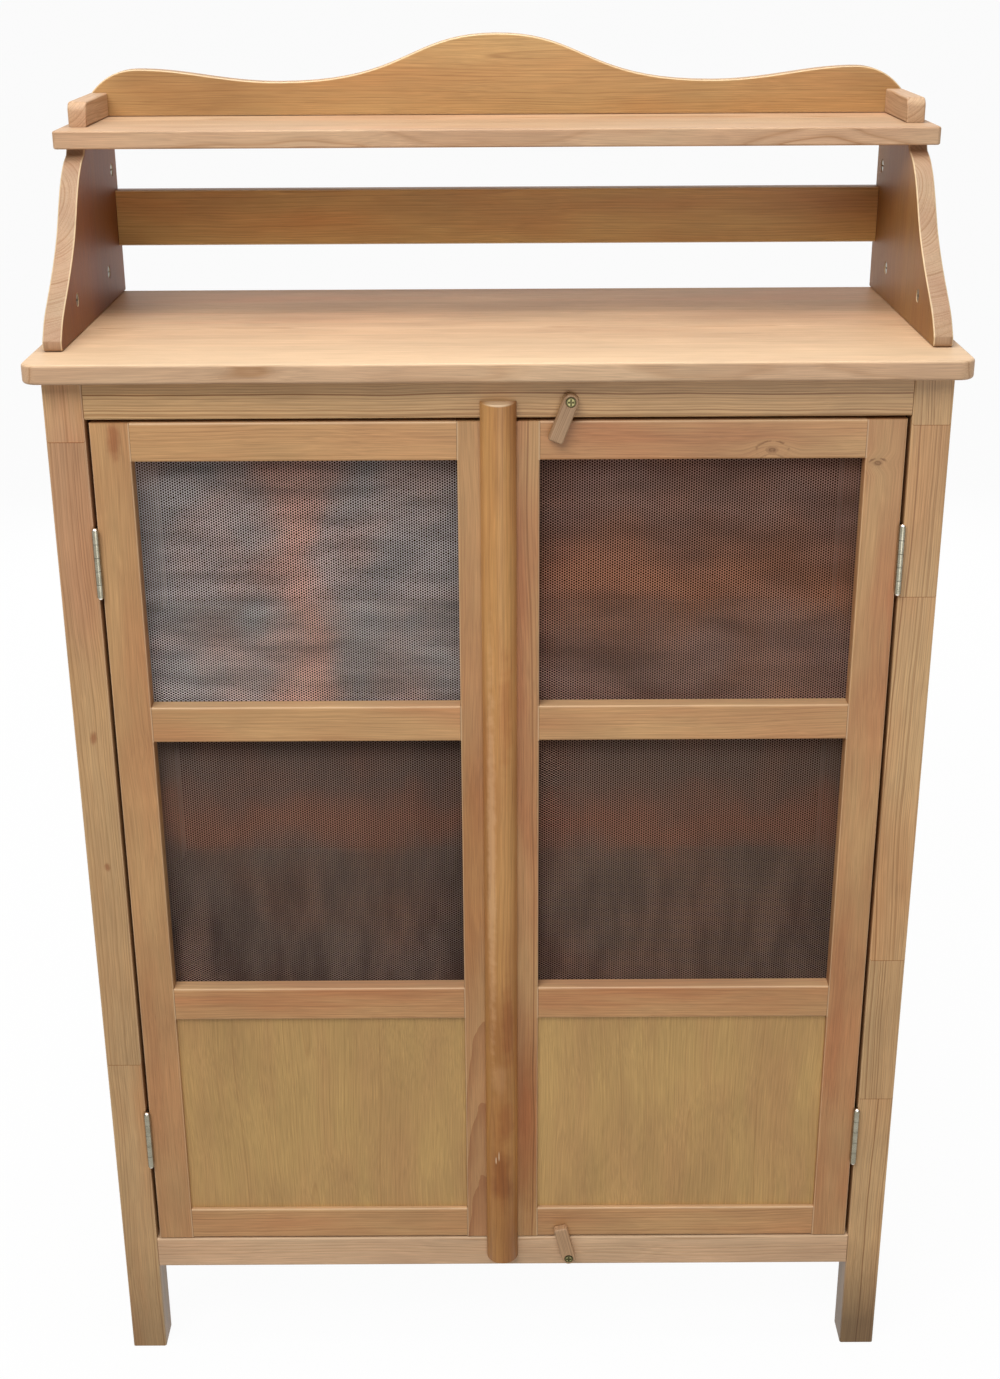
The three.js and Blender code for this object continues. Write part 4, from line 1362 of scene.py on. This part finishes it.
@dataclass
class Carcass:
    """Posts, rails, panels, floor and inner shelves. Their CAD solids are shown."""

    nail_radius: float = 1.8
    nail_length: float = 1.2
    nail_ease: float = 0.3
    nail_proud: float = 0.3
    nail_pitch: float = 118.0
    back_y: float = 187.5
    nail_x: float = 396.5
    nail_z: Pair = (148.5, 1103.0)
    post_marks: tuple[Stain, ...] = (
        Stain(-411.0, 1000.0, 40.0, 190.0, "#f5e8f1", 1.0, ragged=0.3),
        Stain(-411.0, 771.0, 5.0, 9.0, "#b97a5c"),
        Stain(-409.0, 625.0, 4.0, 7.0, "#b97a5c"),
    )

    def _boards(self) -> None:
        """Dress the boards."""
        up, across, deep = Grain.UPRIGHT, Grain.ACROSS, Grain.DEEP
        boards = [
            # The front posts: painted highlights on their front edges, and painted shade towards the floor
            Board(
                "post_front_left", up, FIR, (48, 6), 0.97, joints=(387.9, 1082.0), depth=0.45,
                blush_share=0.9, foot_tone=0.66, arris=0.25, marks=self.post_marks,
            ),
            Board(
                "post_front_right", up, FIR, (66, 16), joints=(339.4, 513.3, 922.2, 1094.7), depth=0.8,
                foot_tone=0.36, arris=0.25,
            ),
            Board("post_back_left", up, FIR, (-60, 20), 0.97, joints=(520.0, 880.0)),
            Board("post_back_right", up, FIR, (58, -24), 0.97, joints=(300.0, 760.0)),
            Board("rail_front_top", across, FIR, (70, 22), 0.99, depth=1.0, blush_share=0.2),
            Board(
                "rail_front_bottom", across, PLANK_FIR, (26, -20), 1.08, depth=0.5, blush_share=0.3,
                arris=0.6,
            ),
            Board("rail_back_top", across, FIR, (-60, 20)),
            Board("rail_back_bottom", across, FIR, (66, 14)),
            Board("rail_left_top", deep, FIR, (20, 62)),
            Board("rail_left_bottom", deep, FIR, (-18, 58)),
            Board("rail_right_top", deep, FIR, (16, -64)),
            Board("rail_right_bottom", deep, FIR, (-20, 70)),
            Board("side_panel_left", up, VENEER, (30, 10)),
            Board("side_panel_right", up, VENEER, (-26, -14)),
            Board("back_panel", up, SHADED_PLYWOOD, (40, 34), 1.05),
            Board("cabinet_floor", across, SHADED_PLYWOOD, (30, 60), 0.9),
            Board("inner_shelf_upper", across, SHADED_PLYWOOD, (28, 50), 0.95),
            Board("inner_shelf_lower", across, SHADED_PLYWOOD, (26, -50), 0.95),
        ]
        # The boards but the plywood get near-black painted shade where they face into the cupboard
        for board in boards:
            board.lined = board.timber is not SHADED_PLYWOOD
        dress_nodes(boards)

    def _nails(self) -> None:
        """Nail the back on, along its four sides."""
        low, high = self.nail_z
        rows = round((high - low) / self.nail_pitch)
        columns = round(2 * self.nail_x / self.nail_pitch)
        heights = [low + (high - low) * row / rows for row in range(rows + 1)]
        places = [(side.value * self.nail_x, z) for z in heights for side in Side]
        across = [self.nail_x * (2 * column / columns - 1) for column in range(1, columns)]
        places += [(x, z) for x in across for z in self.nail_z]
        y = self.back_y + self.nail_proud - self.nail_length
        heads = []
        for x, z in places:
            nail = rod_mesh(self.nail_radius, self.nail_length, segments=12, ease=self.nail_ease)
            heads.append(placed(nail, (x, y, z), -90))
        finish(joined(heads), "back_panel_nails", "carcass", "hinge_steel", ZINC.material("_nails"))

    def build(self) -> None:
        """Make the carcass."""
        self._boards()
        self._nails()


@dataclass
class Tabletop:
    """The thick top, glued up from staves, with rounded corners and eased edges."""

    half_width: float = 445.0
    half_depth: float = 195.5
    z: Pair = (1137.0, 1156.0)
    corner: float = 16.0
    ease: float = 3.0

    def build(self) -> None:
        """Make the top."""
        wide, deep = self.half_width, self.half_depth
        bm = box_mesh((-wide, -deep, self.z[0]), (wide, deep, self.z[1]))
        rounded(bm, edges_along(bm, 2), self.corner, segments=10)
        eased(bm, 2, self.ease, segments=4)
        # Painted highlights on its arrises, and painted light on its top that fades from the front
        wood = Board("tabletop", Grain.ACROSS, PLANK_FIR, (14, 30), stave_width=58.0, arris=0.6, wiped=0.34)
        finish(bm, "glued_tabletop", "carcass", "plank_fir", wood.material(), "tabletop")


@dataclass
class Hutch:
    """Two scrolled brackets, a back rail, a shelf, two cheeks and the gallery board."""

    bracket_x: Pair = (415.0, 434.0)
    foot: Pair = (-137.5, 1156.3)
    head: Pair = (40.5, 1326.0)
    back_y: float = 195.5
    toe: float = 4.0
    edge_shares: tuple[Pair, ...] = (
        (0, 0.055), (0.035, 0.105), (0.095, 0.175), (0.2, 0.256), (0.325, 0.348), (0.445, 0.447),
        (0.545, 0.545), (0.622, 0.645), (0.695, 0.748), (0.78, 0.848), (0.88, 0.925), (0.975, 0.965),
    )
    ease: float = 2.0
    nut_places: tuple[Pair, ...] = ((-53.0, 1190.5), (110.5, 1190.5), (167.5, 1290.0))
    nut_bore: float = 6.8
    bore_depth: float = 8.0
    nut_radius: float = 6.2
    nut_length: float = 7.2
    nut_sides: int = 36
    nut_ease: float = 0.5
    nut_sunk: float = 0.6
    nut_slot: Pair = (1.8, 1.4)
    shelf_low: Point = (-443.0, 20.5, 1326.3)
    shelf_high: Point = (443.0, 195.5, 1344.0)
    shelf_corner: float = 4.0
    gallery_half: float = 434.0
    gallery_y: Pair = (176.5, 195.5)
    gallery_low: float = 1344.3
    end_rise: float = 22.0
    bump_rise: float = 48.0
    dip_rise: float = 34.5
    peak_rise: float = 82.5
    bump_share: float = 0.88
    dip_share: float = 0.53
    peak_share: float = 0.217
    end_handle: float = 0.977
    bump_handles: Pair = (0.06, 0.12)
    dip_handle: float = 0.14
    cheek_y: Pair = (60.5, 176.2)
    cheek_rise: float = 24.5
    cheek_corner: float = 9.0

    def _bracket_outline(self) -> list[Pair]:
        """Draw the bracket's side view.

        Returns:
            Its corners on depth and height.
        """
        (y, z), (top_y, top_z) = self.foot, self.head
        places = [Vector((y + (top_y - y) * back, z + (top_z - z) * up)) for back, up in self.edge_shares]
        stops = []
        for before, here, after in zip([places[0], *places], places, [*places[1:], places[-1]]):
            lean = (after - before) / 6
            stops.append((here, here - lean, here + lean))
        corner, up, along = Vector(self.foot), Vector((0, self.toe)), Vector((self.toe, 0))
        toe = [(corner + up, corner, corner + up / 3), (corner + along, corner + along / 3, corner)]
        front = curve_points(stops, steps=5)[::-1] + curve_points(toe, steps=4)
        return [(self.back_y, z), (self.back_y, top_z), self.head, *front]

    def _gallery_outline(self) -> list[Pair]:
        """Draw the gallery board's front view.

        Returns:
            Its corners on width and height.
        """
        half, base = self.gallery_half, self.shelf_high[2]
        rises = (self.end_rise, self.bump_rise, self.dip_rise, self.peak_rise)
        end, bump, dip, peak = (base + rise for rise in rises)
        bump_x, dip_x, peak_x = (half * share for share in (self.bump_share, self.dip_share, self.peak_share))
        out, back = (half * share for share in self.bump_handles)
        right = [
            ((half, end), (half, end), (half * self.end_handle, (end + bump) / 2)),
            ((bump_x, bump), (bump_x + out, bump), (bump_x - back, bump)),
            ((dip_x, dip), (dip_x + half * self.dip_handle, dip), (peak_x, dip)),
        ]
        left = [tuple((-x, z) for x, z in (here, after, before)) for here, before, after in right[::-1]]
        middle = ((0.0, peak), (peak_x, peak), (-peak_x, peak))
        crest = curve_points([*right, middle, *left], steps=20)
        return [(half, self.gallery_low), *crest, (-half, self.gallery_low)]

    def _bracket(self, side: Side, skin: str) -> None:
        """Make a bracket, bored for its barrel nuts.

        Args:
            side: Which bracket.
            skin: The colour its broad faces are multiplied by, which is painted shade.
        """
        bm = board_mesh(self._bracket_outline(), 0, side.span(*self.bracket_x), self.ease)
        wide, deep = self.nut_slot
        over = self.nut_radius * 2
        nuts = []
        for y, z in self.nut_places:
            at, turn = (side.value * self.bracket_x[0], y, z), -90 * side.value
            nut = rod_mesh(self.nut_radius, self.nut_length, self.nut_sides, self.nut_ease)
            low, high = self.nut_length - deep, self.nut_length + deep
            slot = box_mesh((-wide / 2, -over, low), (wide / 2, over, high))
            nut = placed(carved(nut, slot), (0, 0, -self.nut_length - self.nut_sunk))
            nuts.append(placed(nut, at, turn, "Y"))
            bore = rod_mesh(self.nut_bore, self.bore_depth * 2, self.nut_sides)
            placed(bore, (0, 0, -self.bore_depth))
            bm = carved(bm, placed(bore, at, turn, "Y"))
        node = f"bracket_{side.label}"
        # Its low tone and its face colour are painted shade
        wood = Board(node, Grain.UPRIGHT, PLANK_FIR, (18, 46), 0.66, blush_share=0.7, skin=skin)
        finish(bm, f"scrolled_{node}", "carcass", "carcass_fir", wood.material(), node)
        zinc = ZINC.material(f"_nuts_{side.label}")
        finish(joined(nuts), f"barrel_nuts_{side.label}", "carcass", "hinge_steel", zinc)

    def _shelf(self) -> None:
        """Make the shelf."""
        bm = box_mesh(self.shelf_low, self.shelf_high)
        rounded(bm, edges_along(bm, 2), self.shelf_corner, segments=5)
        eased(bm, 2, self.ease, segments=4)
        wood = Board("upper_shelf", Grain.ACROSS, PLANK_FIR, (12, -34), 0.86, stave_width=61.0)
        finish(bm, "glued_shelf", "carcass", "plank_fir", wood.material(), "upper_shelf")

    def _gallery(self) -> None:
        """Make the gallery board."""
        bm = board_mesh(self._gallery_outline(), 1, self.gallery_y, self.ease)
        wood = Board(
            "gallery_board", Grain.ACROSS, FIR, (14, 26), 0.84, depth=0.4, blush_share=0.6, skin="#fffcea",
            marks=(Stain(-330.0, 1385.0, 120.0, 70.0, "#e6e0dc", 1.0, ragged=0.4),),
        )
        finish(bm, "shaped_gallery", "carcass", "carcass_fir", wood.material(), "gallery_board")

    def _cheek(self, side: Side) -> None:
        """Make the cheek at one end of the gallery board.

        Args:
            side: Which cheek.
        """
        x, y = side.span(*self.bracket_x), self.cheek_y
        top = self.shelf_high[2] + self.cheek_rise
        bm = box_mesh((x[0], y[0], self.gallery_low), (x[1], y[1], top))
        rounded(bm, edges_along(bm, 0, (0, -1, 1)), self.cheek_corner, segments=8)
        eased(bm, 0, self.ease, segments=3)
        node = f"gallery_cheek_{side.label}"
        wood = Board(node, Grain.DEEP, PLANK_FIR, (16, 40), 0.86)
        finish(bm, f"eased_cheek_{side.label}", "carcass", "carcass_fir", wood.material(), node)

    def build(self) -> None:
        """Make the hutch."""
        # The bracket faces' colours are painted shade, darker on the left
        for side, skin in ((Side.LEFT, "#bd8749"), (Side.RIGHT, "#dcc084")):
            self._bracket(side, skin)
        self._shelf()
        self._gallery()
        for side in Side:
            self._cheek(side)
        rail = {"depth": 0.4, "blush_share": 0.9, "skin": "#fff8cf"}
        dress_nodes([Board("hutch_back_rail", Grain.ACROSS, FIR, (22, 24), 0.89, **rail)])


@dataclass
class Netting:
    """Flat steel netting with six-sided gaps in upright rows. A bar's front is a low ridge."""

    pitch: float = 2.72
    bar: float = 0.84
    ridge: float = 0.3
    y: float = -157.5
    weld: float = 0.02

    def _two_cells(self) -> Mesh:
        """Press two cells, one beside and half a row above the other.

        Returns:
            Their bars, round the first cell's middle at the origin.
        """
        cell = bmesh.new()
        bmesh.ops.create_circle(cell, cap_ends=True, segments=6, radius=self.pitch / math.sqrt(3))
        placed(placed(cell, (0, 0, 0), 90, "Z"), (0, 0, 0), 90)
        middle = cell.faces[:]
        bmesh.ops.inset_region(cell, faces=middle, thickness=self.bar / 2, use_boundary=True)
        bmesh.ops.translate(cell, vec=(0, self.ridge, 0), verts=middle[0].verts)
        bmesh.ops.delete(cell, geom=middle, context="FACES_ONLY")
        extra = bmesh.ops.duplicate(cell, geom=cell.verts[:] + cell.edges[:] + cell.faces[:])["geom"]
        moved = [item for item in extra if isinstance(item, bmesh.types.BMVert)]
        bmesh.ops.translate(cell, vec=(self.pitch * math.sqrt(3) / 2, 0, self.pitch / 2), verts=moved)
        return cell

    def mesh(self, x: Pair, z: Pair) -> Mesh:
        """Make a rectangle of netting.

        Args:
            x: Its left and right edges.
            z: Its bottom and top edges.

        Returns:
            The netting's mesh.
        """
        step = self.pitch * math.sqrt(3)
        sheet = shown(placed(self._two_cells(), (x[0], self.y, z[0] - self.pitch / 2)), "netting")
        counts = (
            (math.ceil((x[1] - x[0]) / step) + 1, (step, 0, 0)),
            (math.ceil((z[1] - z[0]) / self.pitch) + 2, (0, 0, self.pitch)),
        )
        for count, offset in counts:
            array = sheet.modifiers.new("rows", "ARRAY")
            array.count = count
            array.use_relative_offset = False
            array.use_constant_offset = True
            array.constant_offset_displace = offset
        bm = taken_back([sheet])
        bmesh.ops.remove_doubles(bm, verts=bm.verts, dist=self.weld)
        for axis, span in ((0, x), (2, z)):
            for place, sign in zip(span, (-1, 1)):
                point, normal = Vector((0, 0, 0)), Vector((0, 0, 0))
                point[axis], normal[axis] = place, sign
                geometry = bm.verts[:] + bm.edges[:] + bm.faces[:]
                bmesh.ops.bisect_plane(bm, geom=geometry, plane_co=point, plane_no=normal, clear_outer=True)
        return bm


@dataclass
class Door:
    """A framed door: a wood panel below, steel netting in two openings above, and its staples."""

    side: Side
    stile_x: Pair = (39.5, 350.5)
    rebate: float = 7.7
    net_z: dict[Level, Pair] = field(
        default_factory=lambda: {Level.LOWER: (477.8, 765.8), Level.UPPER: (803.8, 1057.8)}
    )
    staple_pitch: float = 62.0
    staple_y: float = -156.7
    staple_length: float = 10.0
    staple_wire: float = 0.7
    staple_ease: float = 0.15
    staple_inset: float = 3.6

    @property
    def name(self) -> str:
        """Say which door this is."""
        return f"{self.side.label}_door"

    def _meeting_stile(self) -> Board:
        """Choose the stile beside the other door, which is flat-sawn on the left door.

        Returns:
            The stile.
        """
        meeting = Board(f"{self.name}_meeting_stile", Grain.UPRIGHT, DOOR_FIR, (64, 12), 0.89, depth=0.8)
        if self.side is Side.RIGHT:
            meeting.blush_share = 1.0
            meeting.marks = (Stain(30.0, 280.0, 20.0, 200.0, "#ead9c6", 1.0, ragged=0.4),)
            return meeting
        meeting.depth, meeting.blush_share, meeting.tone = 0.3, 0.6, 0.85
        pale = Stain(-30.0, 620.0, 20.0, 190.0, "#f3e4d4", 1.0, ragged=0.4)
        meeting.marks = (Arches(-17.0, 456.0, 97.0, 0.009, 4), pale)
        return meeting

    def _boards(self) -> None:
        """Dress the stiles, rails and panel."""
        across = Grain.ACROSS
        left = self.side is Side.LEFT
        knots = () if left else (Knot(260.8, 1066.6, 5.2, 12.5), Knot(362.5, 1053.2, 4.4, 7.0))
        boards = [
            Board(
                f"{self.name}_hinge_stile", Grain.UPRIGHT, DOOR_FIR, (30, 26), 0.93, depth=0.25,
                knots=knots[1:], blush_share=0.6 if left else 0.95,
                marks=(Stain(-366.0, 1078.0, 9.0, 24.0, "#c08468"),) if left else (),
            ),
            self._meeting_stile(),
            Board(
                f"{self.name}_rail_top", across, DOOR_FIR, (24, 24), 1.03 if left else 0.94, depth=0.4,
                knots=knots, blush_share=0.3 if left else 0.9,
            ),
            Board(f"{self.name}_rail_middle", across, DOOR_FIR, (20, 22), depth=0.4),
            Board(f"{self.name}_rail_lower", across, DOOR_FIR, (34, 20), depth=0.45, blush_share=0.9),
            Board(f"{self.name}_rail_bottom", across, DOOR_FIR, (26, 24), depth=0.5),
        ]
        # Painted highlights on the front edges, stronger on the rails and on their tops
        for board in boards:
            board.arris = 0.6 if board.grain is across else 0.32
        pith = (10, 16) if left else (-18, 12)
        dress_nodes(boards + [Board(f"{self.name}_panel", Grain.UPRIGHT, VENEER, pith, 0.96)])

    def _nets(self) -> None:
        """Hang the netting and staple it to the rebates."""
        left = self.side is Side.LEFT
        # The upper nets are brightened as painted reflection, the lower ones darkened as painted shade
        metals = {Level.UPPER: NET_BRIGHT if left else NET_WARM, Level.LOWER: NET_DARK if left else NET_DULL}
        near, far = self.stile_x
        x = self.side.span(near - self.rebate, far + self.rebate)
        staples = []
        for level, (low, high) in self.net_z.items():
            z = (low - self.rebate, high + self.rebate)
            node = f"{self.name}_net_{level.value}"
            name = f"{self.name}_netting_{level.value}"
            metal = metals[level].material(f"_{node}")
            finish(Netting().mesh(x, z), name, self.name, "steel_net", metal, node, soft=False)
            staples += self._staples(x, z)
        zinc = ZINC.material(f"_{self.name}")
        finish(joined(staples), f"{self.name}_staples", self.name, "hinge_steel", zinc)

    def _staples(self, *sides: Pair) -> list[Mesh]:
        """Drive staples along the four sides of a rectangle.

        Args:
            sides: The netting's left and right, then its bottom and top.

        Returns:
            One mesh for each staple's crown.
        """
        made = []
        inset, half, thin = self.staple_inset, self.staple_length / 2, self.staple_wire / 2
        spans = dict(zip((0, 2), ((low + inset, high - inset) for low, high in sides)))
        for along, across in ((0, 2), (2, 0)):
            low, high = spans[along]
            count = round((high - low) / self.staple_pitch)
            for number in range(count):
                middle = low + (high - low) * (number + 0.5) / count
                for line in spans[across]:
                    start, stop = [0, self.staple_y, 0], [0, self.staple_y + self.staple_wire, 0]
                    start[along], stop[along] = middle - half, middle + half
                    start[across], stop[across] = line - thin, line + thin
                    crown = box_mesh(start, stop)
                    made.append(rounded(crown, crown.edges[:], self.staple_ease, segments=1))
        return made

    def build(self) -> None:
        """Dress the door."""
        self._boards()
        self._nets()


@dataclass
class MeetingMoulding:
    """The half-round moulding over the meeting of the doors. It is fixed to the right door."""

    radius: float = 17.5
    flat_y: float = -174.8
    z: Pair = (129.0, 1115.5)
    ease: float = 2.2
    sides: int = 72
    marks: tuple[Stain, ...] = (
        Stain(0.0, 290.0, 40.0, 330.0, "#ebe4d4", 1.0, ragged=0.4),
        Stain(1.0, 246.0, 17.0, 60.0, "#bd9672", 0.75),
        Stain(5.0, 318.0, 12.0, 34.0, "#d4a488", 0.5),
        Stain(7.0, 440.0, 9.0, 70.0, "#d8a888", 0.5),
        Stain(6.0, 800.0, 9.0, 90.0, "#dcb090", 0.4),
        Stain(-3.0, 372.0, 11.0, 30.0, "#d3a272", 0.25, pale=True),
        # A painted highlight down the left of the round
        Stain(-9.0, 640.0, 6.0, 300.0, "#e0b285", 0.45, pale=True),
        Stain(-6.6, 268.0, 0.8, 6.0, "#e6cba8", 0.8, pale=True, ragged=0.2),
        Stain(-3.4, 274.0, 0.7, 8.0, "#e6cba8", 0.8, pale=True, ragged=0.2),
        # A painted highlight along the top end's edge
        Stain(0.0, 1115.5, 17.0, 2.4, "#ecd2ae", 0.7, pale=True, ragged=0.0),
    )

    def build(self) -> None:
        """Plane the moulding from a round bar, whose sides lie evenly about the cut."""
        bar = rod_mesh(self.radius, self.z[1] - self.z[0], self.sides)
        bm = placed(bar, (0, 0, 0), 180 / self.sides, "Z")
        geometry = bm.verts[:] + bm.edges[:] + bm.faces[:]
        cut = bmesh.ops.bisect_plane(
            bm, geom=geometry, plane_co=(0, 0, 0), plane_no=(0, 1, 0), clear_outer=True
        )
        rim = [item for item in cut["geom_cut"] if isinstance(item, Edge)]
        bmesh.ops.contextual_create(bm, geom=rim)
        bmesh.ops.recalc_face_normals(bm, faces=bm.faces)
        eased(placed(bm, (0, self.flat_y, self.z[0])), 2, self.ease, segments=3)
        wood = Board("meeting_moulding", Grain.UPRIGHT, MOULDING_FIR, (12, 20), 0.89, marks=self.marks)
        finish(bm, "half_round_moulding", "right_door", "moulding_fir", wood.material(), "meeting_moulding")


@dataclass
class ButtHinge:
    """A butt hinge: five knuckles that take turns on a pin with ball tips, and two screwed leaves."""

    side: Side
    level: Level
    axis_x: float = 390.25
    axis_y: float = -178.05
    height: float = 68.5
    centres: dict[Level, float] = field(default_factory=lambda: {Level.UPPER: 956.8, Level.LOWER: 287.8})
    barrel: float = 3.25
    knuckles: int = 5
    knuckle_ease: float = 0.25
    gap: float = 0.3
    web_inset: float = 0.2
    web_lap: float = 0.3
    pin_tip: float = 2.4
    tip_proud: float = 0.1
    leaf_x: Pair = (0.25, 1.55)
    leaf_y: Pair = (-174.5, -158.05)
    leaf_corner: float = 2.0
    screw: ScrewHead = ScrewHead(radius=2.7, crown=0.12, segments=20)
    screw_y: float = -165.0
    screw_reach: float = 23.0

    def _knuckle(self, x: Pair, low: float, tall: float) -> list[Mesh]:
        """Make a knuckle and the web that ties it to its leaf.

        Args:
            x: The leaf's two faces.
            low: The knuckle's foot.
            tall: Its height.

        Returns:
            The knuckle and the web.
        """
        at = (self.side.value * self.axis_x, self.axis_y, low)
        start = (x[0], self.axis_y, low + self.web_inset)
        stop = (x[1], self.leaf_y[0] + self.web_lap, low + tall - self.web_inset)
        knuckle = rod_mesh(self.barrel, tall, segments=28, ease=self.knuckle_ease)
        return [placed(knuckle, at), box_mesh(start, stop)]

    def _leaf(self, direction: int, turns: int) -> Mesh:
        """Make one leaf.

        Args:
            direction: 1 for the leaf on the post and -1 for the leaf on the door.
            turns: Which of the knuckles are its own, the even or the odd ones.

        Returns:
            The leaf's mesh.
        """
        centre = self.centres[self.level]
        low, high = centre - self.height / 2, centre + self.height / 2
        axis_x, out = self.side.value * self.axis_x, self.side.value * direction
        face = axis_x + out * self.leaf_x[0]
        x = sorted((face, axis_x + out * self.leaf_x[1]))
        plate = box_mesh((x[0], self.leaf_y[0], low), (x[1], self.leaf_y[1], high))
        parts = [rounded(plate, edges_along(plate, 0, (0, 1, 0)), self.leaf_corner, segments=4)]
        tall = (self.height - (self.knuckles - 1) * self.gap) / self.knuckles
        for number in range(turns, self.knuckles, 2):
            parts += self._knuckle(x, low + number * (tall + self.gap), tall)
        for drop in (-self.screw_reach, 0, self.screw_reach):
            parts.append(self.screw.mesh((face, self.screw_y, centre + drop), -90 * out))
        ends = ((low, -1), (high, 1)) if turns == 0 else ()
        for end, sign in ends:
            tip = bmesh.new()
            bmesh.ops.create_uvsphere(tip, u_segments=20, v_segments=12, radius=self.pin_tip)
            parts.append(placed(tip, (axis_x, self.axis_y, end + sign * self.tip_proud)))
        return joined(parts)

    def build(self) -> None:
        """Make both leaves."""
        # The pin's ball tips get a pale painted highlight
        zinc = replace(ZINC, polished=(self.centres[self.level], self.height / 2))
        leaves = ((1, 0, "post", "carcass"), (-1, 1, "door", f"{self.side.label}_door"))
        for direction, turns, holder, body in leaves:
            node = f"hinge_{self.level.value}_{self.side.label}_{holder}_leaf"
            leaf, metal = self._leaf(direction, turns), zinc.material(f"_{node}")
            finish(leaf, f"butt_{node}", body, "hinge_steel", metal, node)


@dataclass
class TurnButton:
    """A small wooden button that turns on a countersunk screw."""

    level: Level
    length: float = 49.0
    width: float = 15.0
    front_y: float = -184.8
    back_y: float = -174.8
    head_share: float = 0.98
    tip_corner: float = 2.5
    ease: float = 2.0
    pivots: dict[Level, Pair] = field(
        default_factory=lambda: {Level.UPPER: (68.5, 1116.0), Level.LOWER: (75.0, 129.1)}
    )
    leans: dict[Level, float] = field(default_factory=lambda: {Level.UPPER: 21.0, Level.LOWER: 166.0})
    tones: dict[Level, float] = field(default_factory=lambda: {Level.UPPER: 0.79, Level.LOWER: 1.02})
    sink_radii: Pair = (2.3, 5.8)
    sink_depth: float = 3.4
    sink_middle: float = 1.4
    screw: ScrewHead = ScrewHead()
    head_sunk: float = 0.25
    bright_radius: float = 3.0
    shank_radius: float = 2.0
    shank_length: float = 23.0
    shank_sunk: float = 1.0

    def _button(self) -> Mesh:
        """Shape the button and sink it for its screw.

        Returns:
            The button's mesh.
        """
        half, lean = self.width / 2, self.leans[self.level]
        x, z = self.pivots[self.level]
        bm = box_mesh((-half, self.front_y, half - self.length), (half, self.back_y, half))
        for sign, corner, segments in ((1, half * self.head_share, 14), (-1, self.tip_corner, 4)):
            rounded(bm, edges_along(bm, 1, (0, 0, sign)), corner, segments)
        placed(eased(bm, 1, self.ease, segments=3), (x, 0, z), lean, "Y")
        sink = bmesh.new()
        small, large = self.sink_radii
        bmesh.ops.create_cone(
            sink, cap_ends=True, segments=40, radius1=small, radius2=large, depth=self.sink_depth
        )
        return carved(bm, placed(sink, (x, self.front_y + self.sink_middle, z), 90))

    def build(self) -> None:
        """Make the button and its screw."""
        level, lean = self.level.value, self.leans[self.level]
        x, z = self.pivots[self.level]
        node, screw = f"turn_button_{level}", f"turn_screw_{level}"
        wood = Board(node, Grain.UPRIGHT, BUTTON_FIR, (24, 10), self.tones[self.level], lean=lean)
        finish(self._button(), f"wooden_{node}", f"{level}_turn_button", "button_fir", wood.material(), node)
        head = self.screw.mesh((x, self.front_y + self.head_sunk, z))
        shank = rod_mesh(self.shank_radius, self.shank_length, segments=20)
        placed(shank, (x, self.front_y + self.shank_sunk, z), -90)
        # A painted highlight in the middle of the screw's head, with painted shade at its rim and in its
        # cross
        face = ((x, self.front_y - self.head_sunk, z), self.bright_radius)
        metal = replace(PASSIVATED, head=face).material(f"_{screw}")
        finish(joined([head, shank]), f"crosshead_{screw}", "carcass", "screw_brass", metal, screw)


def main() -> None:
    """Build the scene, one sub-assembly after another."""
    logging.basicConfig(level=logging.INFO, format="%(name)s: %(message)s")
    PhotographCamera().build()
    Studio().build()
    Carcass().build()
    Tabletop().build()
    Hutch().build()
    for side in Side:
        Door(side).build()
        for level in Level:
            ButtHinge(side, level).build()
    MeetingMoulding().build()
    for level in Level:
        TurnButton(level).build()


if __name__ == "__main__":
    main()
